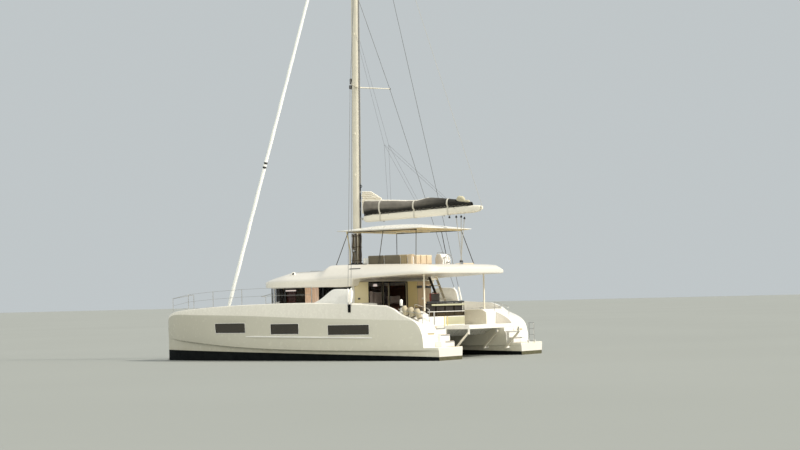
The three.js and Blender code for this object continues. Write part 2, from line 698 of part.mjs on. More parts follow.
// Bimini sections: place, half width, height of the underside, edge and crown
const BIMINI_SECTIONS = [
  { x: -930, half: 1800, low: 5085, edge: 5100, crown: 5120 },
  { x: -1000, half: 1890, low: 5075, edge: 5110, crown: 5160 },
  { x: -1350, half: 1925, low: 5055, edge: 5125, crown: 5240 },
  { x: -2100, half: 1930, low: 5053, edge: 5130, crown: 5305 },
  { x: -3000, half: 1935, low: 5053, edge: 5130, crown: 5325 },
  { x: -3900, half: 1930, low: 5053, edge: 5130, crown: 5305 },
  { x: -4650, half: 1925, low: 5055, edge: 5125, crown: 5240 },
  { x: -4950, half: 1890, low: 5075, edge: 5110, crown: 5160 },
  { x: -5020, half: 1800, low: 5085, edge: 5100, crown: 5120 },
];

function biminiTop() {
  const rings = BIMINI_SECTIONS.map((s) => {
    const shoulder = [s.half * 0.75, s.edge + (s.crown - s.edge) * 0.62];
    const port = [[s.half - 40, s.low], [s.half, s.edge], shoulder];
    const starboard = [...port].reverse().map(([y, z]) => [-y, z]);
    return [...port, [0, s.crown], ...starboard].map(([y, z]) => [s.x, y, z]);
  });
  return cut(loft(rings, acrossBoat), moved(frame, 0, 0, GAP));
}
piece('bimini_top', biminiTop(), GELCOAT);

// Mast with one pair of spreaders, grown by a distance
function mastBody(grow) {
  const ring = (centre) => ellipseRing(centre, MAST_HALF[0] + grow, MAST_HALF[1] + grow, 16);
  const foot = [...MAST_FOOT];
  foot[2] += grow > 0 ? -grow : 0;
  const spar = loft([ring(foot), ring(MAST_HEAD)], levelPlane);
  const root = [-770, 0, SPREADER_Z];
  const tip = (sign) => [SPREADER_TIP[0], sign * SPREADER_TIP[1], SPREADER_Z];
  const spreader = (sign) => rod(root, tip(sign), 38 + grow, 8, 22 + grow);
  return join(spar, spreader(1), spreader(-1));
}
const mastGrown = mastBody(GAP);

// Plates on the mast above and below the boom's eye
function pinPlates() {
  const plate = (z) => box([BOOM_PIN.x - 45, -740], [-38, 38], [z, z + BOOM_PIN.plate]);
  return join(plate(BOOM_PIN.z - BOOM_PIN.half - BOOM_PIN.plate), plate(BOOM_PIN.z + BOOM_PIN.half));
}

// The mast carries the bare top of the forestay, above the swivel of the furled sail
const stayTop = rod(stayPoint(GENOA.sail[1] + GAP), STAY_HEAD, 14);
piece('mast', join(mastBody(0), pinPlates(), stayTop), SPAR_PAINT);

// Shrouds of one side with their chainplate and turnbuckles
function shrouds() {
  const { fore, aft, y, z } = CHAINPLATE;
  const plate = box([aft - 60, fore + 60], [y - 25, y + 12], [z - 340, z + 25]);
  const lowerFoot = [fore, y, z];
  const capFoot = [aft, y, z];
  const tip = [SPREADER_TIP[0] - 5, SPREADER_TIP[1] + 25, SPREADER_Z];
  const mastAt = (height) => {
    const share = (height - MAST_FOOT[2]) / (MAST_HEAD[2] - MAST_FOOT[2]);
    return [MAST_FOOT[0] + share * (MAST_HEAD[0] - MAST_FOOT[0]), 0, height];
  };
  const towards = (from, to, length) => {
    const start = new THREE.Vector3(...from);
    return new THREE.Vector3(...to).sub(start).setLength(length).add(start).toArray();
  };
  const wire = 8;
  const screw = 22;
  const capHead = mastAt(CAP_SHROUD_Z);
  const wires = join(rods([lowerFoot, tip, mastAt(LOWER_SHROUD_Z)], wire, 8), rod(capFoot, capHead, wire));
  const screws = join(rod(lowerFoot, towards(lowerFoot, tip, 620), screw),
    rod(capFoot, towards(capFoot, capHead, 620), screw));
  return cut(join(plate, wires, screws), moved(hull, 0, GAP, 0), mastGrown);
}
pair('shrouds', shrouds(), STAINLESS);

// Furled genoa on its drum
function genoa() {
  const drum = rod(stayPoint(GENOA.drum[0] + GAP), stayPoint(GENOA.drum[1] + 30), 120, 16);
  const sail = rod(stayPoint(GENOA.sail[0]), stayPoint(GENOA.sail[1]), GENOA.radius[0], 12, GENOA.radius[1]);
  return join(drum, sail);
}
piece('furled_genoa', genoa(), SAILCLOTH);

// Boom with the sail on it

const BOOM_SECTIONS = [
  { x: -1010, half: 60, z: [5560, 5730] },
  { x: -1160, half: 105, z: [5490, 5805] },
  { x: -6300, half: 105, z: [5655, 5950] },
  { x: -6600, half: 70, z: [5720, 5930] },
];

function octagon(x, half, [low, high]) {
  const cutOff = Math.min(half, (high - low) / 2) * 0.45;
  const port = [[half - cutOff, low], [half, low + cutOff], [half, high - cutOff], [half - cutOff, high]];
  const starboard = [...port].reverse().map(([y, z]) => [-y, z]);
  return [...port, ...starboard].map(([y, z]) => [x, y, z]);
}

function boom() {
  const spar = loft(BOOM_SECTIONS.map((s) => octagon(s.x, s.half, s.z)), acrossBoat);
  const arm = rod([BOOM_PIN.x, 0, BOOM_PIN.z], [-1050, 0, BOOM_PIN.z + 5], 28, 10);
  const eyeEnd = (side) => [BOOM_PIN.x, 0, BOOM_PIN.z + side * (BOOM_PIN.half - GAP)];
  const eye = rod(eyeEnd(-1), eyeEnd(1), BOOM_PIN.eye, 12);
  return join(spar, arm, eye);
}
const spar = boom();
piece('boom', spar, SPAR_PAINT);

// Cover on the boom: place, half width, lowest and highest point
const COVER_SECTIONS = [
  { x: -1080, half: 150, z: [5760, 6420] },
  { x: -2200, half: 170, z: [5804, 6380] },
  { x: -3600, half: 165, z: [5844, 6310] },
  { x: -4350, half: 160, z: [5865, 6350] },
  { x: -5400, half: 130, z: [5895, 6180] },
  { x: -6220, half: 80, z: [5918, 6060] },
];
const coverSections = COVER_SECTIONS.map((s) => octagon(s.x, s.half, s.z));
const cover = cut(loft(coverSections, acrossBoat), moved(spar, 0, 0, GAP));
piece('sail_cover', cover, CHARCOAL_CANVAS);

// Folds of the sail that stand out of the cover, and its luff gathered between the cover and the mast
const FLAKES_SECTIONS = [
  { x: -925, half: 45, z: [5870, 6760] },
  { x: -1065, half: 60, z: [5870, 6770] },
  { x: -1072, half: 60, z: [6425, 6770] },
  { x: -1400, half: 70, z: [6390, 6690] },
  { x: -1900, half: 60, z: [6375, 6450] },
];
const flakes = loft(FLAKES_SECTIONS.map((s) => octagon(s.x, s.half, s.z)), acrossBoat);
piece('flaked_sail', cut(flakes, moved(cover, 0, 0, GAP)), SAILCLOTH);

// Steering and drives

function rudder() {
  const level = (z, fore, aft, half) => finRing(z, RUDDER.x + fore, RUDDER.x + aft, half, 6);
  const blade = loft([level(-1180, 110, -310, 28), level(-480, 170, -390, 45)], levelPlane);
  return join(blade, rod([RUDDER.x, HULL_Y, -700], [RUDDER.x, HULL_Y, RUDDER.top], RUDDER.stock, 24));
}
pair('rudder', rudder(), GELCOAT);

function saildrive() {
  const leg = [
    [-150, -430 - GAP], [150, -430 - GAP], [110, -800], [180, -930], [110, -1010], [-170, -1010],
    [-210, -880], [-130, -780],
  ];
  const outline = leg.map(([x, z]) => [DRIVE.x + x, z]).reverse();
  const body = sidePrism(outline, [HULL_Y - 40, HULL_Y + 40]);
  const foot = box([DRIVE.x - 150, DRIVE.x + 150], [HULL_Y - 75, HULL_Y + 75], [-560, -430 - GAP]);
  const gearcase = rod([DRIVE.x + 120, HULL_Y, DRIVE.z], [DRIVE.aft + GAP, HULL_Y, DRIVE.z], 62, 16);
  return join(body, foot, gearcase);
}
pair('saildrive', saildrive(), ENGINE_GREY);

function propeller() {
  const hub = rod([DRIVE.aft, HULL_Y, DRIVE.z], [DRIVE.aft - 130, HULL_Y, DRIVE.z], 55, 16, 30);
  const pitch = 0.5;
  const blades = [0, 1, 2].map((i) => {
    const blade = new THREE.CylinderGeometry(95, 95, 14, 12).scale(0.7, 1, 1);
    blade.rotateZ(Math.PI / 2 + pitch).translate(0, 0, 130).rotateX((2 * Math.PI * i) / 3);
    return solidOf(blade.translate(DRIVE.aft - 60, HULL_Y, DRIVE.z));
  });
  return join(hub, ...blades);
}
pair('propeller', propeller(), BRONZE);

pair('engine', box([-4860, -4140], [2800, 3240], [ENGINE_WELL.floor + GAP, 520]), ENGINE_GREY);
pair('engine_hatch', lidFor(ENGINE_WELL.x, ENGINE_WELL.y, SIDE_DECK_Z), GELCOAT);
pair('locker_lid', lidFor(LOCKER.x, LOCKER.y, FOREDECK_Z), GELCOAT);

// Stern platform

const PLATFORM = { x: [-7170, -6030], half: 1880, z: [1130, 1275] };

function liftPivot(foot) {
  return [foot + LIFT.reach, LIFT.z + LIFT.rise];
}

function platform() {
  const corner = 40;
  const [aft, fore] = PLATFORM.x;
  const outline = [
    [fore, -PLATFORM.half], [fore, PLATFORM.half],
    [aft + corner, PLATFORM.half], [aft, PLATFORM.half - corner],
    [aft, -PLATFORM.half + corner], [aft + corner, -PLATFORM.half],
  ];
  const lug = (foot, sign) => {
    const [x, z] = liftPivot(foot);
    const inner = sign * (PLATFORM.half - 40);
    const outer = sign * PLATFORM.half;
    const thick = [Math.min(inner, outer), Math.max(inner, outer)];
    const plate = box([x - 40, x + 34], thick, [z - 40, PLATFORM.z[0] + 10]);
    return join(plate, rod([x, inner, z], [x, sign * (LIFT.arm[0] - GAP), z], 26, 12));
  };
  const lugs = [LIFT.fore, LIFT.aft].flatMap((foot) => [lug(foot, 1), lug(foot, -1)]);
  return join(planPrism(outline, PLATFORM.z), ...lugs);
}
piece('stern_platform', platform(), GELCOAT);

function liftArm(foot) {
  const [x, z] = liftPivot(foot);
  const length = Math.hypot(LIFT.reach, LIFT.rise);
  const half = 36;
  const [sx, sz] = [(-LIFT.rise / length) * half, (LIFT.reach / length) * half];
  const outline = [[foot - sx, LIFT.z - sz], [foot + sx, LIFT.z + sz], [x + sx, z + sz], [x - sx, z - sz]];
  const beam = sidePrism(outline, LIFT.arm);
  const eye = (cx, cz) => rod([cx, LIFT.arm[0], cz], [cx, LIFT.arm[1], cz], LIFT.eye, 14);
  return join(beam, eye(foot, LIFT.z), eye(x, z));
}
pair('lift_arm_fore', liftArm(LIFT.fore), SPAR_PAINT);
pair('lift_arm_aft', liftArm(LIFT.aft), SPAR_PAINT);

// Ladder on the starboard stern step, stowed upright
function swimLadder() {
  const top = LADDER.z + LADDER.height;
  const [y0, y1] = [LADDER.y[0] + 40, LADDER.y[1] - 40];
  const side = (y) => rod([LADDER.x, y, LADDER.z], [LADDER.x, y, top], LADDER.tube);
  const rung = (z) => rod([LADDER.x, y0, z], [LADDER.x, y1, z], LADDER.tube);
  const axle = rod([LADDER.x, LADDER.y[0], LADDER.z], [LADDER.x, LADDER.y[1], LADDER.z], LADDER.tube);
  return join(axle, side(y0), side(y1), rung(top), rung(LADDER.z + 240), rung(LADDER.z + 480));
}
piece('swim_ladder', swimLadder(), STAINLESS);

// Rails: pulpit at the bow and lifelines along the sheer, with their stanchions

// Stanchions: place, distance from the hull's centreline, deck height
const STANCHIONS = [
  { x: 6650, out: 120 }, { x: 5500, out: 480 }, { x: 4000, out: 690 }, { x: 2400, out: 810 },
  { x: 700, out: 860 }, { x: -1150, out: 860 },
];
const RAIL_TUBE = 13;
const RAIL_HEIGHT = 640;

function lifelines() {
  const foot = ({ x, out }) => [x, HULL_Y + out, 1700];
  const head = ({ x, out }, height) => [x, HULL_Y + out, deckAt(x) + height];
  const posts = STANCHIONS.map((s) => rod(foot(s), head(s, RAIL_HEIGHT), RAIL_TUBE, 6));
  const line = (height) => rods(STANCHIONS.map((s) => head(s, height)), 6, 5);
  const bow = rods([
    head(STANCHIONS[0], RAIL_HEIGHT - 8),
    [6720, HULL_Y - 100, deckAt(6650) + RAIL_HEIGHT],
    [5900, HULL_Y - 330, deckAt(5900) + RAIL_HEIGHT],
    [5900, HULL_Y - 330, 1700],
  ], RAIL_TUBE);
  return cut(join(...posts, line(RAIL_HEIGHT - 15), line(RAIL_HEIGHT / 2), bow), moved(hull, 0, 0, GAP));
}

function deckAt(x) {
  return rowAt(HULL_SECTIONS, x).sheerZ;
}
pair('lifelines', lifelines(), STAINLESS);

// Rail on the quarter beside the stern steps
const QUARTER_RAIL = [[-6020, 2930, 1300], [-6020, 2930, 1930], [-5350, 2930, 2140], [-5350, 2930, 1700]];
pair('quarter_rail', cut(rods(QUARTER_RAIL, 14, 8), moved(hull, 0, 0, GAP)), STAINLESS);

// Anchor windlass on the foredeck
function windlass() {
  const base = box([3250, 3550], [-150, 150], [FOREDECK_Z + GAP, FOREDECK_Z + 90]);
  return join(base, rod([3400, 0, FOREDECK_Z + 50], [3400, 0, FOREDECK_Z + 230], 85, 14));
}
piece('windlass', windlass(), STAINLESS);

export default boat;
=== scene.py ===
import json
from math import cos, pi, radians, sin

import bmesh
import bpy
from mathutils import Matrix, Vector
from mathutils.bvhtree import BVHTree

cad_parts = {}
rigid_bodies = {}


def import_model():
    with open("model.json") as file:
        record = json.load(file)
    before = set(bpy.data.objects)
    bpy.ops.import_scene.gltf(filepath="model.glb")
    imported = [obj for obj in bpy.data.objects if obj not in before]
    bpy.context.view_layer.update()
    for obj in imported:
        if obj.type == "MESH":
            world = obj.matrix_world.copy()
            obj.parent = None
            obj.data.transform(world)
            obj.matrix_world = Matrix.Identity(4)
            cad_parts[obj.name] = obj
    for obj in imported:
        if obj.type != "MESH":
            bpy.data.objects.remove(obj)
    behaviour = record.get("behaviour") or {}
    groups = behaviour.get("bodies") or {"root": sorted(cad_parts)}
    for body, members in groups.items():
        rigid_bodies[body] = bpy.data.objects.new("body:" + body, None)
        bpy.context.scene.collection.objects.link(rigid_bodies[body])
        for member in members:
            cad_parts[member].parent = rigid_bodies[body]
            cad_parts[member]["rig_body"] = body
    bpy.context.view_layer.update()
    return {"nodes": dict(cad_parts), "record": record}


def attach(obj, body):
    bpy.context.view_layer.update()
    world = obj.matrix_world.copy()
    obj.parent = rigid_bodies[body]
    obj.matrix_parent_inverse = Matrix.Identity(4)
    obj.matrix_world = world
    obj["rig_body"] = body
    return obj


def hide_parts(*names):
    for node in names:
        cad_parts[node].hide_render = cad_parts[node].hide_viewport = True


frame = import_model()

SCENE = bpy.context.scene
HULL_Y = 2.99
# A hair's play in metres, under what stands on a floor and round what is let in
GAP = 0.0003

# Camera: its place off the port quarter, with heading, pitch and roll in degrees

CAMERA = {"place": (-44.656, 61.659, 2.332), "heading": 34.186, "pitch": 2.293, "roll": 1.32}
LENS_MM = 83.25


def linked(name, data):
    """A new object in the scene."""
    made = bpy.data.objects.new(name, data)
    SCENE.collection.objects.link(made)
    return made


def make_camera():
    heading, pitch, roll = (radians(CAMERA[key]) for key in ("heading", "pitch", "roll"))
    level = Vector((-cos(heading), -sin(heading), 0))
    away = Vector((sin(heading), -cos(heading), 0))
    up = Vector((0, 0, 1))
    forward = away * cos(pitch) + up * sin(pitch)
    upright = up * cos(pitch) - away * sin(pitch)
    right = level * cos(roll) - upright * sin(roll)
    top = level * sin(roll) + upright * cos(roll)
    data = bpy.data.cameras.new("camera")
    data.sensor_width = 36
    data.lens = LENS_MM
    data.clip_end = 2000
    camera = linked("camera", data)
    turn = Matrix((right, top, -forward)).transposed().to_4x4()
    camera.matrix_world = Matrix.Translation(CAMERA["place"]) @ turn
    SCENE.camera = camera


make_camera()

# Light: a sun from astern, a soft glow from the port quarter and a pale sky

LAMPS = {
    "sun": {"from": (-0.75, -0.13, 0.64), "strength": 3.8, "angle": 5, "color": (1.0, 0.955, 0.88)},
    "glow": {"from": (-0.45, 0.65, 0.45), "strength": 1.3, "angle": 80, "color": (1.0, 0.96, 0.86)},
}
SKY = {"color": (0.80, 0.86, 0.88), "strength": 0.66}


def make_light():
    for name, lamp in LAMPS.items():
        data = bpy.data.lights.new(name, "SUN")
        data.energy = lamp["strength"]
        data.angle = radians(lamp["angle"])
        data.color = lamp["color"]
        linked(name, data).rotation_euler = Vector(lamp["from"]).to_track_quat("Z", "Y").to_euler()
    world = bpy.data.worlds.new("sky")
    world.use_nodes = True
    sky = world.node_tree.nodes["Background"]
    sky.inputs["Color"].default_value = (*SKY["color"], 1)
    sky.inputs["Strength"].default_value = SKY["strength"]
    SCENE.world = world
    SCENE.view_settings.view_transform = "Standard"


make_light()

# Materials


class Finish:
    """A material whose colour, roughness and relief come from nodes."""

    def __init__(self, name, **sockets):
        mat = FINISHES[name] = bpy.data.materials.new(name)
        mat.use_nodes = True
        self.tree = mat.node_tree
        self.shader = self.tree.nodes["Principled BSDF"]
        self.set(self.shader, **sockets)
        self.place = self.tree.nodes.new("ShaderNodeTexCoord").outputs["Object"]

    def plug(self, socket, value):
        """Links an output to a socket, or sets the socket to a number or a colour."""
        if isinstance(value, bpy.types.NodeSocket):
            self.tree.links.new(value, socket)
        elif isinstance(value, tuple) and len(value) == 3 and socket.type == "RGBA":
            socket.default_value = (*value, 1)
        else:
            socket.default_value = value

    def set(self, node, **sockets):
        for key, value in sockets.items():
            self.plug(node.inputs[key.replace("_", " ")], value)

    def add(self, kind, settings=None, **sockets):
        node = self.tree.nodes.new(kind)
        for key, value in (settings or {}).items():
            setattr(node, key, value)
        self.set(node, **sockets)
        return node

    def stretched(self, scale, turn=(0, 0, 0)):
        return self.add("ShaderNodeMapping", Vector=self.place, Scale=scale, Rotation=turn).outputs["Vector"]

    def noise(self, scale, detail=3, stretch=(1, 1, 1)):
        return self.add("ShaderNodeTexNoise", Vector=self.stretched(stretch), Scale=scale, Detail=detail).outputs[0]

    def waves(self, scale, axis="DIAGONAL", turn=(0, 0, 0), stretch=(1, 1, 1), distort=0.0):
        settings = {"bands_direction": axis}
        place = self.stretched(stretch, turn)
        return self.add("ShaderNodeTexWave", settings, Vector=place, Scale=scale, Distortion=distort).outputs[1]

    def weave(self, thread):
        """Warp and weft at right angles."""
        return self.math("MAXIMUM", self.waves(thread), self.waves(thread, turn=(0, 0, pi / 2)))

    def math(self, operation, *values):
        node = self.add("ShaderNodeMath", {"operation": operation})
        for socket, value in zip(node.inputs, (*values, 0.0)):
            self.plug(socket, value)
        return node.outputs[0]

    def ramp(self, factor, *stops):
        node = self.add("ShaderNodeValToRGB", Fac=factor)
        marks = node.color_ramp.elements
        while len(marks) < len(stops):
            marks.new(0.5)
        for mark, (at, color) in zip(marks, stops):
            mark.position = at
            mark.color = (*color, 1) if isinstance(color, tuple) else (color, color, color, 1)
        return node.outputs["Color"]

    def mix(self, factor, a, b, blend="MIX"):
        node = self.add("ShaderNodeMix", {"data_type": "RGBA", "blend_type": blend, "clamp_factor": True})
        for number, value in ((0, factor), (6, a), (7, b)):
            self.plug(node.inputs[number], value)
        return node.outputs[2]

    def times(self, a, b):
        return self.math("MULTIPLY", a, b)

    def axis(self, name):
        return self.add("ShaderNodeSeparateXYZ", Vector=self.place).outputs[name]

    def wear(self):
        """Edges and corners, from how far the surface is convex."""
        return self.ramp(self.add("ShaderNodeNewGeometry").outputs["Pointiness"], (0.49, 0.0), (0.56, 1.0))

    def relief(self, height, strength=0.2, distance=0.01):
        node = self.add("ShaderNodeBump", Height=height, Strength=strength, Distance=distance)
        self.set(self.shader, Normal=node.outputs["Normal"])

    def done(self, color, rough=None):
        self.set(self.shader, Base_Color=color)
        if rough is not None:
            self.set(self.shader, Roughness=rough)


FINISHES = {}


def shade(color, share):
    return tuple(c * share for c in color)


def gelcoat(name, color, rough=(0.22, 0.4)):
    f = Finish(name, Coat_Weight=0.35, Coat_Roughness=0.12)
    base = f.ramp(f.noise(0.55, 5), (0.3, shade(color, 0.93)), (0.7, color))
    runs = f.ramp(f.noise(5, 3, (1, 1, 0.06)), (0.35, 0.0), (0.8, 1.0))
    dirty = f.mix(f.times(runs, 0.10), base, (0.46, 0.40, 0.29))
    f.relief(f.noise(140, 2), 0.03, 0.002)
    worn = f.mix(f.times(f.wear(), 0.25), dirty, shade(color, 1.05))
    f.done(worn, f.ramp(f.noise(9, 4), (0.3, rough[0]), (0.7, rough[1])))


# The topsides: the black boot top rises towards the bows, and a stain lies above it; their colour is painted shade,
# darker than the white gelcoat and darker still towards the bows
BOOT = {"mid": 0.293, "rise": 0.0214}


def topside():
    fore, mid, aft = (0.585, 0.56, 0.46), (0.69, 0.66, 0.545), (0.79, 0.755, 0.63)
    f = Finish("topside", Coat_Weight=0.2, Coat_Roughness=0.08, Specular_IOR_Level=0.4)
    # Painted shade: the colour darkens from the stern towards the bows
    along = f.ramp(f.math("MULTIPLY_ADD", f.axis("X"), 0.0714, 0.5), (0.05, aft), (0.45, mid), (0.9, fore))
    base = f.mix(f.ramp(f.noise(0.4, 5), (0.3, 0.0), (0.7, 1.0)), along, (0.94, 0.94, 0.94), "MULTIPLY")
    height = f.math("SUBTRACT", f.axis("Z"), f.math("MULTIPLY_ADD", f.axis("X"), BOOT["rise"], BOOT["mid"]))
    stain = f.ramp(height, (0.0, 0.5), (0.16, 0.14), (0.5, 0.0))
    streaks = f.ramp(f.noise(4, 4, (1, 1, 0.05)), (0.35, 0.15), (0.75, 1.0))
    dirty = f.mix(f.times(stain, streaks), base, (0.47, 0.42, 0.28))
    f.relief(f.noise(60, 2), 0.02, 0.002)
    f.done(dirty, f.ramp(f.noise(6), (0.3, 0.16), (0.7, 0.3)))


def matt(name, dark, light):
    """A surface that gives back little light."""
    f = Finish(name, Specular_IOR_Level=0.1)
    f.relief(f.noise(90, 3), 0.06, 0.002)
    f.done(f.ramp(f.noise(3, 5), (0.3, dark), (0.75, light)), f.ramp(f.noise(11, 3), (0.3, 0.55), (0.7, 0.8)))


def nonskid():
    f = Finish("nonskid", Roughness=0.7)
    grain = f.noise(420, 2)
    base = f.ramp(f.noise(1.2, 5), (0.3, (0.60, 0.58, 0.52)), (0.7, (0.70, 0.68, 0.61)))
    f.relief(grain, 0.5, 0.0015)
    f.done(f.mix(f.times(grain, 0.3), base, (0.52, 0.5, 0.45)), f.ramp(grain, (0.3, 0.6), (0.7, 0.85)))


def panel(name, color, rough=0.4, **sockets):
    f = Finish(name, **sockets)
    base = f.ramp(f.noise(1.4, 5), (0.3, shade(color, 0.88)), (0.7, color))
    f.relief(f.noise(200, 2), 0.05, 0.001)
    worn = f.mix(f.times(f.wear(), 0.3), base, shade(color, 1.25))
    f.done(worn, f.ramp(f.noise(12, 4), (0.3, rough - 0.08), (0.7, rough + 0.1)))


def glass(name, tint, see=0.0, gloss=0.5):
    f = Finish(name, Roughness=0.05, Alpha=1 - see, IOR=1.5, Specular_IOR_Level=gloss, Coat_Weight=gloss,
               Coat_Roughness=0.03)
    f.relief(f.noise(2.5, 2), 0.01, 0.01)
    smear = f.noise(7, 5)
    f.done(f.ramp(smear, (0.3, tint), (0.75, shade(tint, 1.6))), f.ramp(smear, (0.35, 0.03), (0.8, 0.14)))


def metal(name, color, rough):
    f = Finish(name, Metallic=1.0)
    brushed = f.noise(60, 3, (1, 1, 12))
    f.relief(brushed, 0.04, 0.001)
    tint = f.ramp(f.noise(5, 4), (0.3, shade(color, 0.85)), (0.7, color))
    f.done(tint, f.ramp(brushed, (0.3, rough), (0.7, rough + 0.14)))


def woven(name, dark, light, thread=420, folds=0.0, sheen=0.3, **sockets):
    f = Finish(name, Sheen_Weight=sheen, Sheen_Roughness=0.5, **sockets)
    weave = f.weave(thread)
    patch = f.noise(2.2, 5)
    f.relief(f.math("MULTIPLY_ADD", f.noise(6, 4), folds, f.times(weave, 0.2)), 0.35, 0.006)
    shaded = f.mix(f.times(weave, 0.25), f.ramp(patch, (0.3, dark), (0.7, light)), shade(light, 1.2))
    f.done(f.mix(f.times(f.wear(), 0.3), shaded, shade(light, 1.5)), f.ramp(patch, (0.3, 0.8), (0.7, 0.9)))


def canvas():
    """The cover's cloth: lighter on top towards the mast, dark along its lower edge and in its folds."""
    f = Finish("charcoal", Sheen_Weight=0.08, Sheen_Roughness=0.5, Specular_IOR_Level=0.2)
    weave = f.weave(450)
    folds = f.noise(6, 4)
    f.relief(f.math("MULTIPLY_ADD", folds, 1.0, f.times(weave, 0.2)), 0.35, 0.006)
    height = f.math("SUBTRACT", f.axis("Z"), f.math("MULTIPLY_ADD", f.axis("X"), -0.036, 5.72))
    ragged = f.math("MULTIPLY_ADD", f.noise(1.6, 4, (1, 1, 2.5)), 0.22, height)
    aft = f.math("MULTIPLY_ADD", f.axis("X"), 0.625, 3.1875)
    fore_share = f.ramp(aft, (0.0, 0.03), (0.45, 0.45), (1.0, 1.0))
    lighter_top = f.times(f.ramp(ragged, (0.25, 0.0), (0.38, 1.0)), fore_share)
    patch = f.ramp(f.noise(2.2, 5), (0.3, (0.155, 0.14, 0.118)), (0.7, (0.23, 0.21, 0.178)))
    color = f.mix(lighter_top, (0.007, 0.007, 0.006), patch)
    f.done(f.mix(f.times(weave, 0.06), color, (0.24, 0.22, 0.19)), f.ramp(folds, (0.3, 0.8), (0.7, 0.92)))


def rope(name, a, b):
    f = Finish(name, Sheen_Weight=0.2)
    lay = f.waves(160, distort=1.0)
    f.relief(lay, 0.6, 0.002)
    # The colour is halved in the grooves between strands: painted shade
    color = f.mix(f.noise(8, 3), f.ramp(lay, (0.2, shade(a, 0.5)), (0.6, a)), b)
    f.done(color, f.ramp(lay, (0.2, 0.75), (0.8, 0.9)))


def wood(name, dark, light):
    f = Finish(name, Coat_Weight=0.3, Coat_Roughness=0.15)
    rings = f.waves(9, "Y", distort=6, stretch=(0.12, 1, 1))
    grain = f.noise(90, 4, (0.06, 1, 1))
    f.relief(grain, 0.15, 0.002)
    color = f.ramp(rings, (0.2, dark), (0.75, light))
    f.done(f.mix(f.times(grain, 0.5), color, shade(dark, 0.7)), f.ramp(grain, (0.3, 0.28), (0.7, 0.45)))


def stair_paint():
    """The stringer to port is dark, the treads and the other one are pale."""
    f = Finish("stair_paint", Specular_IOR_Level=0.3)
    pale = f.ramp(f.noise(1.4, 5), (0.3, (0.62, 0.57, 0.45)), (0.7, (0.72, 0.67, 0.54)))
    dark = f.ramp(f.noise(3, 4), (0.3, (0.035, 0.028, 0.018)), (0.7, (0.06, 0.05, 0.035)))
    side = f.ramp(f.math("ADD", f.axis("Y"), 1.83), (0.498, 0.0), (0.503, 1.0))
    f.relief(f.noise(80, 3), 0.06, 0.002)
    f.done(f.mix(side, pale, dark), f.ramp(f.noise(9, 3), (0.3, 0.4), (0.7, 0.6)))


